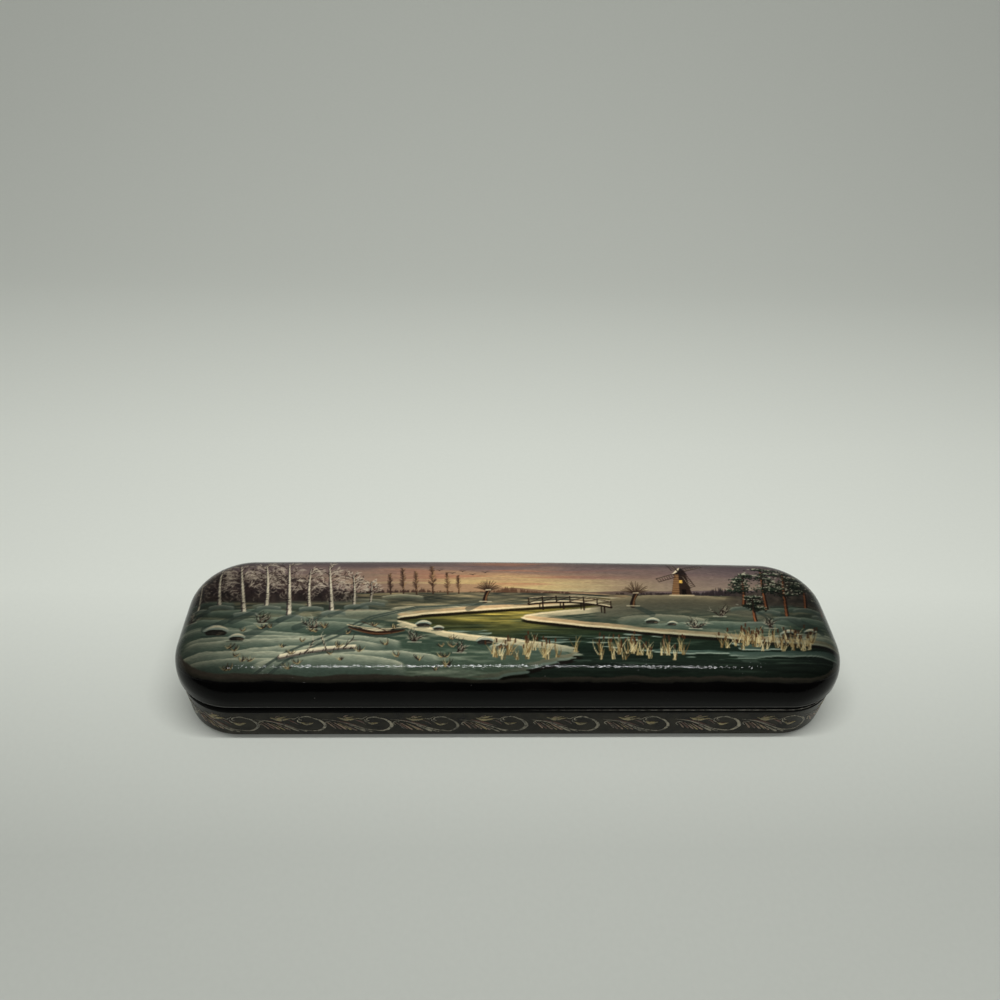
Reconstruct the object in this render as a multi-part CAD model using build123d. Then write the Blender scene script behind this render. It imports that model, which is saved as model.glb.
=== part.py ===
from build123d import *
import math
import os

# A long papier-mache lacquer box: a domed lid on two brass hinges over a tapered base.
# Millimetres. The origin is the middle of the underside, +X runs along the box,
# +Y to the hinges at the back, +Z up. The box is drawn closed.

# Lid, outside
LID_LENGTH = 180.0
LID_WIDTH = 48.4
LID_CORNER_RADIUS = 17.0
LID_HEIGHT = 11.9
SHOULDER_RADIUS = 8.6
CROWN_LENGTHWISE = 1.0
CROWN_ACROSS = 1.4
LID_EDGE_RADIUS = 0.8

# Lid, made as a pressed shell on a wound rim
LID_WALL = 3.0
RIM_HEIGHT = 2.8

# Base
BASE_HEIGHT = 13.4
OVERHANG = 0.6
BASE_TAPER = 0.9
BASE_EDGE_RADIUS = 1.6
FOOT_RADIUS = 1.2
FLOOR_THICKNESS = 2.6
LINER_THICKNESS = 1.4
LIP_HEIGHT = 2.2
LIP_EDGE_RADIUS = 0.4

# Fits between the papier-mache pieces
LIP_CLEARANCE = 0.4
LID_GAP = 0.2
GLUE_GAP = 0.05

# Hinges
HINGE_INSET = 38.0
HINGE_LENGTH = 26.0
KNUCKLE_COUNT = 5
KNUCKLE_GAP = 0.2
PIN_RADIUS = 0.8
PIN_CHAMFER = 0.2
RUNNING_CLEARANCE = 0.05
LEAF_THICKNESS = 0.7
LEAF_DEPTH = 5.2
NOTCH_CLEARANCE = 0.25
SLOT_CLEARANCE = 0.05

# Rivets that hold the leaves in their slots
RIVETS_PER_LEAF = 3
RIVET_SPACING = 8.0
RIVET_OFFSET = 3.8
RIVET_RADIUS = 0.45
RIVET_CLEARANCE = 0.03
RIVET_END = 0.3
RIVET_HEAD_RADIUS = 0.9
RIVET_HEAD_HEIGHT = 0.4
RIVET_HEAD_ROUND = 0.3
RIVET_SEAT = 0.3

# Heights and insets that follow from the sizes above
LID_BOTTOM = BASE_HEIGHT + LID_GAP
LID_TOP = LID_BOTTOM + LID_HEIGHT
SEAM_HEIGHT = LID_BOTTOM + RIM_HEIGHT
BASE_WALL = LID_WALL + LIP_CLEARANCE - OVERHANG
WALL_INSIDE = OVERHANG + BASE_WALL
LINER_OUTSIDE = WALL_INSIDE + GLUE_GAP
LINER_INSIDE = LINER_OUTSIDE + LINER_THICKNESS
LIP_TOP = BASE_HEIGHT + LIP_HEIGHT
SHOULDER_ROOM = LID_HEIGHT - LID_EDGE_RADIUS - CROWN_LENGTHWISE - CROWN_ACROSS
SHOULDER = min(SHOULDER_RADIUS, SHOULDER_ROOM)

# Hinge places: the pin's axis lies in the base's back face, halfway up the gap under the lid
AXIS_Y = LID_WIDTH / 2 - OVERHANG
AXIS_Z = BASE_HEIGHT + LID_GAP / 2
BORE_RADIUS = PIN_RADIUS + RUNNING_CLEARANCE
KNUCKLE_RADIUS = BORE_RADIUS + LEAF_THICKNESS
NOTCH_RADIUS = KNUCKLE_RADIUS + NOTCH_CLEARANCE
LEAF_Y = AXIS_Y - KNUCKLE_RADIUS + LEAF_THICKNESS / 2
RIVET_TIP_Y = LEAF_Y + LEAF_THICKNESS / 2 + RIVET_END
BASE_SEAT_Y = LID_WIDTH / 2 - LINER_INSIDE
LID_SEAT_Y = LID_WIDTH / 2 - LID_WALL - RIVET_SEAT
KNUCKLE_PITCH = (HINGE_LENGTH + KNUCKLE_GAP) / KNUCKLE_COUNT
KNUCKLE_LENGTH = KNUCKLE_PITCH - KNUCKLE_GAP
HINGE_X = LID_LENGTH / 2 - HINGE_INSET
HINGES = {"left": -HINGE_X, "right": HINGE_X}
DOWN = -1
UP = 1


def plan(inset, z):
    """Rounded outline of the lid at height z, drawn in all round by inset."""
    outline = RectangleRounded(LID_LENGTH - 2 * inset, LID_WIDTH - 2 * inset, LID_CORNER_RADIUS - inset)
    return Pos(0, 0, z) * outline


def block(inset, low, high):
    """Upright block on that outline, from one height to another."""
    return extrude(plan(inset, low), amount=high - low)


def crown(inset):
    """Everything under the gently domed top, which curves along the box and across it."""
    half_length = LID_LENGTH / 2
    half_width = LID_WIDTH / 2
    across_radius = (half_width**2 + CROWN_ACROSS**2) / (2 * CROWN_ACROSS) - inset
    length_radius = (half_length**2 + CROWN_LENGTHWISE**2) / (2 * CROWN_LENGTHWISE) - inset
    top = LID_TOP - inset
    reach = half_width + LID_WALL
    edge = top - across_radius + math.sqrt(across_radius**2 - reach**2)
    arch = ThreePointArc((-reach, edge), (0, top), (reach, edge))
    sides = Polyline([(reach, edge), (reach, -top), (-reach, -top), (-reach, edge)])
    section = Plane.YZ * make_face([arch, sides])
    axle = Axis((0, 0, top - length_radius), (0, 1, 0))
    swing = math.degrees(math.asin(LID_LENGTH / length_radius))
    return revolve(section.rotate(axle, -swing), axle, 2 * swing)


def lid_form(inset, low):
    """Cushion shape of the lid, drawn in all round by inset: outline, crown and rolled shoulder."""
    form = block(inset, low, 2 * LID_TOP) & crown(inset)
    top_face = form.faces().sort_by(Axis.Z)[-1]
    return fillet(top_face.edges(), SHOULDER - inset)


def slab(low, high):
    """Wide level slice used to part the lid at its seam."""
    return Pos(0, 0, (low + high) / 2) * Box(2 * LID_LENGTH, 2 * LID_WIDTH, high - low)


def bar(x, length, radius):
    """Cylinder along the hinge axis, centred at x."""
    return Pos(x, AXIS_Y, AXIS_Z) * Rot(0, 90, 0) * Cylinder(radius, length)


def rod(x, z, y_from, y_to, radius):
    """Cylinder along Y at x and z."""
    return Pos(x, (y_from + y_to) / 2, z) * Rot(90, 0, 0) * Cylinder(radius, y_to - y_from)


def leaf_plate(x, length, side, near, far, thickness):
    """Upright plate in the leaf's plane, from near to far of the axis on the side given."""
    middle = AXIS_Z + side * (near + far) / 2
    return Pos(x, LEAF_Y, middle) * Box(length, thickness, far - near)


def rivet_places(x, side):
    """Middles of one leaf's rivets as x and z."""
    first = x - RIVET_SPACING * (RIVETS_PER_LEAF - 1) / 2
    height = AXIS_Z + side * RIVET_OFFSET
    return [(first + step * RIVET_SPACING, height) for step in range(RIVETS_PER_LEAF)]


def rivet(x, z, seat):
    """Round-headed rivet driven from inside the box, with its head on the seat."""
    head = rod(x, z, seat - RIVET_HEAD_HEIGHT, seat, RIVET_HEAD_RADIUS)
    crest = head.edges().sort_by(Axis.Y)[0]
    return fillet(crest, RIVET_HEAD_ROUND) + rod(x, z, seat, RIVET_TIP_Y, RIVET_RADIUS)


def rivet_hole(x, z, seat):
    """Hole for a rivet's shank, with a flat pocket for its head."""
    shank = rod(x, z, seat - RIVET_HEAD_HEIGHT, RIVET_TIP_Y + RIVET_CLEARANCE, RIVET_RADIUS + RIVET_CLEARANCE)
    pocket = rod(x, z, seat - LID_WALL, seat, RIVET_HEAD_RADIUS + NOTCH_CLEARANCE)
    return shank + pocket


def hinge_cut(x, side, seat):
    """Room for one hinge in a back wall: half-round notch, slot for the leaf and rivet holes."""
    slot_length = HINGE_LENGTH + 2 * SLOT_CLEARANCE
    slot_far = LEAF_DEPTH + SLOT_CLEARANCE
    cut = bar(x, HINGE_LENGTH + 2 * NOTCH_CLEARANCE, NOTCH_RADIUS)
    cut += leaf_plate(x, slot_length, side, 0, slot_far, LEAF_THICKNESS + 2 * SLOT_CLEARANCE)
    for rivet_x, rivet_z in rivet_places(x, side):
        cut += rivet_hole(rivet_x, rivet_z, seat)
    return cut


def leaf(x, side, first_knuckle, seat):
    """Hinge leaf with every second knuckle rolled from it."""
    plate = leaf_plate(x, HINGE_LENGTH, side, NOTCH_RADIUS, LEAF_DEPTH, LEAF_THICKNESS)
    start = x - HINGE_LENGTH / 2 + KNUCKLE_LENGTH / 2
    for index in range(first_knuckle, KNUCKLE_COUNT, 2):
        middle = start + index * KNUCKLE_PITCH
        plate += leaf_plate(middle, KNUCKLE_LENGTH, side, 0, NOTCH_RADIUS, LEAF_THICKNESS)
        plate += bar(middle, KNUCKLE_LENGTH, KNUCKLE_RADIUS)
    plate -= bar(x, 2 * HINGE_LENGTH, BORE_RADIUS)
    for rivet_x, rivet_z in rivet_places(x, side):
        plate -= rod(rivet_x, rivet_z, seat, RIVET_TIP_Y, RIVET_RADIUS + RIVET_CLEARANCE)
    return plate


def hinge_pin(x):
    """Straight pin through all knuckles, chamfered at both ends."""
    pin = bar(x, HINGE_LENGTH, PIN_RADIUS)
    return chamfer(pin.edges().filter_by(GeomType.CIRCLE), PIN_CHAMFER)


# Base wall: wound ring, tapered towards the foot, with rounded outer edges
wall = loft([plan(OVERHANG + BASE_TAPER, 0), plan(OVERHANG, BASE_HEIGHT)], ruled=True)
wall = fillet(wall.faces().sort_by(Axis.Z)[0].edges(), FOOT_RADIUS)
wall = fillet(wall.faces().sort_by(Axis.Z)[-1].edges(), BASE_EDGE_RADIUS)
wall -= block(WALL_INSIDE, -BASE_HEIGHT, 2 * BASE_HEIGHT)

# Base floor: flat plate glued inside the wall, level with its lower edge
floor = block(LINER_OUTSIDE, 0, FLOOR_THICKNESS)

# Base liner: inner ring on the floor that stands above the wall as the lip
liner = block(LINER_OUTSIDE, FLOOR_THICKNESS, LIP_TOP)
liner = fillet(liner.faces().sort_by(Axis.Z)[-1].edges(), LIP_EDGE_RADIUS)
liner -= block(LINER_INSIDE, 0, 2 * LIP_TOP)

# Lid: one cushion shape, hollowed and parted at the seam into rim and shell
lid = lid_form(0, LID_BOTTOM)
lid = fillet(lid.faces().sort_by(Axis.Z)[0].edges(), LID_EDGE_RADIUS)
lid -= lid_form(LID_WALL, LID_BOTTOM - LID_WALL)
rim = lid & slab(0, SEAM_HEIGHT)
shell = lid & slab(SEAM_HEIGHT, 2 * LID_TOP)

# Hinges: the walls are cut for each one, then its leaves, pin and rivets go in
parts = {}
base_rivets = []
lid_rivets = []
for name, x in HINGES.items():
    base_cut = hinge_cut(x, DOWN, BASE_SEAT_Y)
    lid_cut = hinge_cut(x, UP, LID_SEAT_Y)
    wall -= base_cut
    liner -= base_cut
    rim -= lid_cut
    shell -= lid_cut
    parts[f"{name}_hinge_base_leaf"] = leaf(x, DOWN, 0, BASE_SEAT_Y)
    parts[f"{name}_hinge_lid_leaf"] = leaf(x, UP, 1, LID_SEAT_Y)
    parts[f"{name}_hinge_pin"] = hinge_pin(x)
    base_rivets += [rivet(rivet_x, rivet_z, BASE_SEAT_Y) for rivet_x, rivet_z in rivet_places(x, DOWN)]
    lid_rivets += [rivet(rivet_x, rivet_z, LID_SEAT_Y) for rivet_x, rivet_z in rivet_places(x, UP)]

parts["base_wall"] = wall
parts["base_floor"] = floor
parts["base_liner"] = liner
parts["lid_rim"] = rim
parts["lid_shell"] = shell
parts["base_rivets"] = Compound(children=base_rivets)
parts["lid_rivets"] = Compound(children=lid_rivets)

os.makedirs("parts", exist_ok=True)
for name, shape in parts.items():
    export_step(shape, f"parts/{name}.step")
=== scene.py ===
"""A long papier-mache lacquer box: a tapered base with a gold scroll, a domed, painted lid, brass hinges."""
import math

import bpy
import numpy as np
from mathutils import Matrix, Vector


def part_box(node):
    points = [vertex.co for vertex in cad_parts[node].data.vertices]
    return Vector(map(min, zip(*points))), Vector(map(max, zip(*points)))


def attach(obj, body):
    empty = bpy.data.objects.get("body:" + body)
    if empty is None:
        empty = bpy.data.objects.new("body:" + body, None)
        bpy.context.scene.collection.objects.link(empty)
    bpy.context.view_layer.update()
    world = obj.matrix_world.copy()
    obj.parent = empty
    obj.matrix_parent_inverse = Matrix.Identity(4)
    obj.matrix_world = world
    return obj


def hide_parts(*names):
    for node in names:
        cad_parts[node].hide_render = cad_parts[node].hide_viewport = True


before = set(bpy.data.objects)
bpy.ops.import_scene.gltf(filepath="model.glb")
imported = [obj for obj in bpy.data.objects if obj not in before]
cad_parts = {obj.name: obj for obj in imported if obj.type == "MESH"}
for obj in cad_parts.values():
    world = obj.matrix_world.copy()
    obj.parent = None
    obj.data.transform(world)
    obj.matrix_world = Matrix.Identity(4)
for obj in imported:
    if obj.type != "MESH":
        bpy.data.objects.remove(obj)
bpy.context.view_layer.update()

# Plain sizes are in millimetres, and times MM they are in metres. Grains are counts in a metre.
MM = 0.001


# Base floor
# A flat plate of pressed paper board, glued inside the foot of the wall. Its upper side is lacquered
# red, as the whole inside of such a box is, and the side that it stands on is black.
RED_LACQUER = (0.31, 0.014, 0.008, 1)
DEEP_RED = (0.19, 0.007, 0.005, 1)
BLACK_LACQUER = (0.0012, 0.0012, 0.0012, 1)
WORN_BLACK = (0.003, 0.0026, 0.0024, 1)
DUST_GREY = (0.11, 0.105, 0.095, 1)
FLOOR_BLACK_BELOW = 0.6 * MM
FLOOR_GLOSS = 0.16
RED_CLOUDS = 45.0
RED_LINES = (30.0, 900.0, 900.0)
BLACK_CLOUDS = 38.0


def feed(tree, made, inputs):
    """Gives a node's inputs plain values, or the sockets that feed them."""
    for key, value in inputs.items():
        if isinstance(value, bpy.types.NodeSocket):
            tree.links.new(value, made.inputs[key])
        else:
            made.inputs[key].default_value = value


def node(tree, kind, inputs=None, **settings):
    """Adds one shader node, with its settings and what feeds its inputs."""
    made = tree.nodes.new("ShaderNode" + kind)
    for name, value in settings.items():
        setattr(made, name, value)
    feed(tree, made, inputs or {})
    return made


def new_material(name):
    """A material with its node tree, its shader, and the place on the piece in the box's own frame."""
    made = bpy.data.materials.new(name)
    made.use_nodes = True
    tree = made.node_tree
    return made, tree, tree.nodes["Principled BSDF"], node(tree, "TexCoord").outputs["Object"]


def mixed(tree, share, first, second):
    """The colour that goes from first to second as share goes from 0 to 1."""
    made = node(tree, "Mix", {0: share, 6: first, 7: second}, data_type="RGBA")
    return made.outputs[2]


def spread(tree, value, low, high, to_low=0.0, to_high=1.0):
    """A value carried from the range low to high onto the range to_low to to_high, and held there."""
    limits = {"From Min": low, "From Max": high, "To Min": to_low, "To Max": to_high}
    made = node(tree, "MapRange", {"Value": value, **limits})
    return made.outputs[0]


def reckon(tree, operation, *values):
    """The result of a Math node on values or plain numbers, in their order."""
    return node(tree, "Math", dict(enumerate(values)), operation=operation).outputs[0]


def product(tree, first, second):
    """Two values, or a value and a number, multiplied."""
    return reckon(tree, "MULTIPLY", first, second)


def height_of(tree, place):
    """How high a place lies above the table."""
    return node(tree, "SeparateXYZ", {0: place}).outputs["Z"]


def noise(tree, place, scale, detail=2.0):
    """Plain noise of 0 to 1 with its grain at 1/scale metres."""
    return node(tree, "TexNoise", {"Vector": place, "Scale": scale, "Detail": detail}).outputs[0]


def stretched(tree, place, scale, turned=0.0):
    """The place with each axis scaled, so that a pattern on it is drawn out along the shorter scale."""
    return node(tree, "Mapping", {"Vector": place, "Scale": scale, "Rotation": (0, 0, turned)}).outputs[0]


def new_group(name, inputs, outputs):
    """An empty shader node group with named sockets; returns its tree, what comes in and what goes out."""
    tree = bpy.data.node_groups.new(name, "ShaderNodeTree")
    for socket, kind, value in inputs:
        made = tree.interface.new_socket(socket, in_out="INPUT", socket_type="NodeSocket" + kind)
        if value is not None:
            made.default_value = value
    for socket, kind in outputs:
        tree.interface.new_socket(socket, in_out="OUTPUT", socket_type="NodeSocket" + kind)
    return tree, tree.nodes.new("NodeGroupInput").outputs, tree.nodes.new("NodeGroupOutput").inputs


# Every lacquered surface shows the same three things: a fine orange peel left by the brushed varnish,
# hair scratches from use, and a little settled dust.
PEEL_GRAIN = 1500.0
RIPPLE_GRAIN = 330.0
RIPPLE_SHARE = 0.6
HAIR_LONG = 90.0
HAIR_FINE = 2600.0
HAIR_DEEP = 900.0
HAIR_TURNS = ((0.35, 41.0), (-0.9, 23.0), (1.4, 67.0))
SCRATCH_DEPTH = 0.9
SCRATCH_DULLNESS = 0.16
CLOUDY_DULLNESS = 0.03
CLOUDY_GRAIN = 60.0
SPECK_GRAIN = 620.0
FEW_GRAIN = 240.0
PEEL_DEPTH = 0.022 * MM
LACQUER_IOR = 1.20
LACQUER_GLOSS = 0.09
MATT_ROUGHNESS = 0.9

skin, given, gives = new_group(
    "lacquer_skin",
    [("Place", "Vector", None), ("Gloss", "Float", 0.1)],
    [("Height", "Float"), ("Roughness", "Float"), ("Dust", "Float")],
)
spot = given["Place"]
peel = noise(skin, spot, PEEL_GRAIN, 1.0)
ripple = noise(skin, spot, RIPPLE_GRAIN)
scratch = 0.0
for turned, finer in HAIR_TURNS:
    streaks = noise(skin, stretched(skin, spot, (HAIR_LONG, HAIR_FINE + finer, HAIR_DEEP), turned), 1.0)
    scratch = reckon(skin, "MAXIMUM", scratch, spread(skin, streaks, 0.70, 0.76))
scratch = product(skin, scratch, spread(skin, ripple, 0.42, 0.62))
body = reckon(skin, "ADD", peel, product(skin, ripple, RIPPLE_SHARE))
rough = reckon(skin, "ADD", given["Gloss"], product(skin, scratch, SCRATCH_DULLNESS))
cloudy = spread(skin, noise(skin, spot, CLOUDY_GRAIN), 0.4, 0.75, 0, CLOUDY_DULLNESS)
specks = node(skin, "TexVoronoi", {"Vector": spot, "Scale": SPECK_GRAIN}).outputs["Distance"]
few = spread(skin, noise(skin, spot, FEW_GRAIN), 0.66, 0.72)
skin.links.new(reckon(skin, "SUBTRACT", body, product(skin, scratch, SCRATCH_DEPTH)), gives["Height"])
skin.links.new(reckon(skin, "ADD", rough, cloudy), gives["Roughness"])
skin.links.new(product(skin, spread(skin, specks, 0.13, 0.07), few), gives["Dust"])


def lacquer(name, colour_of, gloss=LACQUER_GLOSS, peel_depth=PEEL_DEPTH, matt_of=None):
    """A glossy varnished paint; colour_of(tree, place) gives the paint, matt_of where it has no varnish."""
    made, tree, shader, place = new_material(name)
    worn = node(tree, "Group", node_tree=skin)
    feed(tree, worn, {"Place": place, "Gloss": gloss})
    rough = worn.outputs["Roughness"]
    if matt_of:
        rough = reckon(tree, "MAXIMUM", rough, product(tree, matt_of(tree, place), MATT_ROUGHNESS))
    bump = node(tree, "Bump", {"Height": worn.outputs["Height"], "Strength": 1.0, "Distance": peel_depth})
    colour = mixed(tree, worn.outputs["Dust"], colour_of(tree, place), DUST_GREY)
    feed(tree, shader, {"Base Color": colour, "Roughness": rough, "Normal": bump.outputs[0]})
    shader.inputs["IOR"].default_value = LACQUER_IOR
    return made


def red_paint(tree, place):
    """Vermilion with slow cloudy changes and faint brush lines along the box."""
    clouds = noise(tree, place, RED_CLOUDS, 4.0)
    lines = noise(tree, stretched(tree, place, RED_LINES), 1.0)
    share = reckon(tree, "ADD", product(tree, clouds, 0.6), product(tree, lines, 0.4))
    return mixed(tree, spread(tree, share, 0.36, 0.64), DEEP_RED, RED_LACQUER)


def black_paint(tree, place):
    """Black with a trace of brown where the varnish is thin."""
    thin = spread(tree, noise(tree, place, BLACK_CLOUDS, 3.0), 0.45, 0.7)
    return mixed(tree, thin, BLACK_LACQUER, WORN_BLACK)


def floor_paint(tree, place):
    """Red above, black on the side that the box stands on."""
    share = spread(tree, height_of(tree, place), 0.8 * FLOOR_BLACK_BELOW, FLOOR_BLACK_BELOW)
    return mixed(tree, share, black_paint(tree, place), red_paint(tree, place))


def finish(name, material):
    """Gives a piece that comes from the frame its finish."""
    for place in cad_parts[name].material_slots:
        place.material = material


finish("base_floor", lacquer("floor_lacquer", floor_paint, FLOOR_GLOSS))


# Base wall
# The outer ring of the base, wound from glued paper round a former, dried, sanded to a slight taper and
# painted a dark brown that has gone grey at the foot. Its rounded upper edge, in the gap under the lid, is
# black and matt as painted shade, with a thin painted highlight along it on the right.
WALL_BROWN = (0.036, 0.031, 0.019, 1)
WALL_DARK = (0.006, 0.0048, 0.0026, 1)
WALL_GREY = (0.085, 0.080, 0.070, 1)
EDGE_HIGHLIGHT_GREY = (0.50, 0.475, 0.425, 1)
wall_low, wall_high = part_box("base_wall")
FOOT_BAND = 2.2 * MM
# The black over the upper edge is painted shade of the gap under the lid, kept matt; the light line in it is
# a painted highlight.
EDGE_SHADE_FROM = 10.85 * MM
EDGE_FADE = 0.2 * MM
EDGE_HIGHLIGHT_AT = 12.05 * MM
EDGE_HIGHLIGHT_HALF = 0.18 * MM
EDGE_LEAST = 0.3
LONG_BREAKS = 26.0
SHORT_BREAKS = 700.0
WALL_CLOUDS = 210.0
FOOT_CLOUDS = 300.0
WALL_GLOSS = 0.2


def highlight_line(tree, place, height, half, least):
    """A thin painted highlight round the box at a height: a light line standing in for light caught by an
    edge.

    It has long and short breaks, and least of it is left in each."""
    apart = reckon(tree, "ABSOLUTE", reckon(tree, "SUBTRACT", height_of(tree, place), height))
    long = spread(tree, noise(tree, place, LONG_BREAKS), 0.42, 0.56, least, 1)
    short = spread(tree, noise(tree, place, SHORT_BREAKS), 0.38, 0.6, least, 1)
    return product(tree, spread(tree, apart, 0.4 * half, half, 1, 0), product(tree, long, short))


def edge_shade(tree, place):
    """The share of the black painted shade: 1 from a little below the rounding to the top of the wall."""
    return spread(tree, height_of(tree, place), EDGE_SHADE_FROM - EDGE_FADE, EDGE_SHADE_FROM + EDGE_FADE)


def wall_paint(tree, place):
    """Mottled dark brown, a grey worn band at the foot, and black painted shade over the rounded upper edge.

    A thin broken painted highlight lies along the black on the right, where the lid is lifted."""
    axes = node(tree, "SeparateXYZ", {0: place}).outputs
    mottle = spread(tree, noise(tree, place, WALL_CLOUDS, 5.0), 0.34, 0.68)
    brown = mixed(tree, mottle, WALL_DARK, WALL_BROWN)
    foot = spread(tree, axes["Z"], wall_low.z, wall_low.z + FOOT_BAND, 1, 0)
    foot = product(tree, foot, spread(tree, noise(tree, place, FOOT_CLOUDS, 3.0), 0.3, 0.6, 0.35, 1.0))
    worn = mixed(tree, foot, brown, WALL_GREY)
    painted = mixed(tree, edge_shade(tree, place), worn, black_paint(tree, place))
    # A painted highlight along the black edge, only on the right half.
    rub_and_highlight = highlight_line(tree, place, EDGE_HIGHLIGHT_AT, EDGE_HIGHLIGHT_HALF, EDGE_LEAST)
    lifted = spread(tree, axes["X"], 0.0, 0.5 * wall_high.x)
    return mixed(tree, product(tree, rub_and_highlight, lifted), painted, EDGE_HIGHLIGHT_GREY)


finish("base_wall", lacquer("wall_lacquer", wall_paint, WALL_GLOSS, matt_of=edge_shade))


# Gold scroll
# A running scroll painted round the whole wall with a fine brush in bronze powder and size: in each
# repeat a stem sinks to the foot and curls up into a hook round a bud, with feathered strokes under it.
lid_low, lid_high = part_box("lid_shell")
LID_CORNER = 17.0
BASE_INSET = 0.6
WALL_TAPER = 0.9
WALL_HEIGHT = wall_high.z / MM
CORE_X = lid_high.x / MM - LID_CORNER
CORE_Y = lid_high.y / MM - LID_CORNER
SCROLL_REPEATS = 23
# The painter spaced the hooks by eye: those along the front, from left to right, and the rest evenly.
FRONT_HOOKS = (-67.3, -49.8, -32.2, -14.5, 3.8, 22.8, 42.0, 61.2)
HOOK_AT = 18.5
SCROLL_FOOT = 0.75
SCROLL_SQUEEZE = 0.96
STROKE_STEPS = 15
STROKE_CORNERS = 5
STROKE_CROWN = 0.55
STROKE_LIFT = 0.045
STROKE_SINK = 0.05
EDGE_SINK = 0.015
HAND_SEED = 12
HAND_SLIP = 0.12
HAND_WIDTHS = (0.75, 1.15)
HAND_SHADES = (0.7, 1.2)
RUB_GRAIN = 900.0
POWDER_GRAIN = 5200.0
SCROLL_TAN = (0.37, 0.33, 0.25)
SCROLL_OLIVE = (0.36, 0.29, 0.14)
SCROLL_ROSE = (0.36, 0.24, 0.17)
SCROLL_RUST = (0.12, 0.052, 0.034)
# Each stroke: its colour, the places its line passes through (along the wall, up the wall) and its widths.
SCROLL_STROKES = (
    (SCROLL_TAN, ((0.4, 7.4), (4.2, 6.6), (8.2, 4.5), (12.0, 2.5), (15.2, 1.9)),
     (0.15, 0.4, 0.5, 0.5, 0.45)),
    (SCROLL_TAN, ((13.0, 2.1), (16.6, 2.0), (18.5, 4.3), (17.4, 6.9), (15.4, 8.2)),
     (0.3, 0.6, 1.05, 0.7, 0.25)),
    (SCROLL_TAN, ((16.2, 7.8), (14.2, 8.8), (12.3, 8.3), (12.0, 7.3), (12.7, 7.0)),
     (0.25, 0.6, 0.45, 0.35, 0.5)),
    (SCROLL_ROSE, ((1.4, 6.3), (2.5, 4.9), (3.8, 2.9)), (0.18, 0.42, 0.7)),
    (SCROLL_RUST, ((2.3, 6.2), (3.6, 4.7), (5.1, 2.7)), (0.18, 0.42, 0.7)),
    (SCROLL_ROSE, ((3.2, 6.0), (4.8, 4.4), (6.5, 2.4)), (0.18, 0.45, 0.75)),
    (SCROLL_OLIVE, ((4.4, 5.7), (6.0, 4.1), (7.8, 2.2)), (0.15, 0.36, 0.6)),
    (SCROLL_ROSE, ((5.6, 5.2), (7.2, 3.7), (9.2, 2.0)), (0.18, 0.45, 0.75)),
    (SCROLL_TAN, ((7.2, 4.7), (9.2, 3.1), (11.4, 1.5)), (0.2, 0.5, 0.9)),
    (SCROLL_TAN, ((9.8, 3.4), (11.4, 2.3), (13.4, 1.3)), (0.15, 0.4, 0.6)),
    (SCROLL_TAN, ((1.9, 4.7), (1.2, 5.6), (1.9, 6.4), (3.0, 6.2)), (0.2, 0.35, 0.4, 0.2)),
    (SCROLL_RUST, ((3.4, 7.2), (7.0, 5.7), (10.6, 3.9)), (0.25, 1.0, 0.3)),
    (SCROLL_RUST, ((8.8, 7.4), (10.6, 6.4), (11.8, 4.9)), (0.2, 0.7, 0.2)),
    (SCROLL_OLIVE, ((4.4, 8.3), (7.0, 7.2), (10.2, 8.0)), (0.2, 1.5, 0.2)),
    (SCROLL_OLIVE, ((5.2, 7.9), (7.1, 8.3), (9.2, 9.0)), (0.25, 0.75, 0.2)),
    (SCROLL_ROSE, ((6.0, 8.4), (6.5, 8.8), (7.4, 9.2)), (0.2, 0.45, 0.15)),
    (SCROLL_TAN, ((9.6, 8.0), (10.8, 7.6), (11.6, 8.3), (12.4, 8.9)), (0.2, 0.35, 0.3, 0.15)),
    (SCROLL_OLIVE, ((12.2, 6.0), (13.7, 5.2), (15.7, 5.8)), (0.25, 1.6, 0.2)),
    (SCROLL_TAN, ((12.4, 5.8), (11.6, 6.5), (11.5, 7.4)), (0.3, 0.45, 0.25)),
    (SCROLL_RUST, ((13.1, 5.6), (13.8, 5.3), (14.6, 5.6)), (0.1, 0.75, 0.1)),
)


def make_piece(name, points, faces, other_faces=()):
    """A smooth mesh object from points in millimetres, equal faces, and a list of faces of other counts."""
    corners = np.concatenate([faces.ravel()] + [np.asarray(face) for face in other_faces])
    counts = np.concatenate([np.full(len(faces), faces.shape[1]), [len(face) for face in other_faces]])
    mesh = bpy.data.meshes.new(name)
    mesh.vertices.add(len(points))
    mesh.vertices.foreach_set("co", (np.asarray(points) * MM).ravel())
    mesh.loops.add(len(corners))
    mesh.loops.foreach_set("vertex_index", corners.astype(np.int32))
    mesh.polygons.add(len(counts))
    mesh.polygons.foreach_set("loop_start", (np.cumsum(counts) - counts).astype(np.int32))
    mesh.update(calc_edges=True)
    mesh.shade_smooth()
    piece = bpy.data.objects.new(name, mesh)
    bpy.context.scene.collection.objects.link(piece)
    return piece


def through(places, count):
    """Evenly spaced points of the smooth line through a few places: a cubic through each four in turn."""
    places = np.asarray(places, float)
    padded = np.concatenate([2 * places[:1] - places[1:2], places, 2 * places[-1:] - places[-2:-1]])
    share = np.linspace(0, len(places) - 1, count)
    first = np.minimum(share.astype(int), len(places) - 2)
    t = (share - first)[:, None]
    a, b, c, d = (padded[first + step] for step in range(4))
    return b + 0.5 * t * (c - a + t * (2 * a - 5 * b + 4 * c - d + t * (3 * (b - c) + d - a)))


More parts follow.
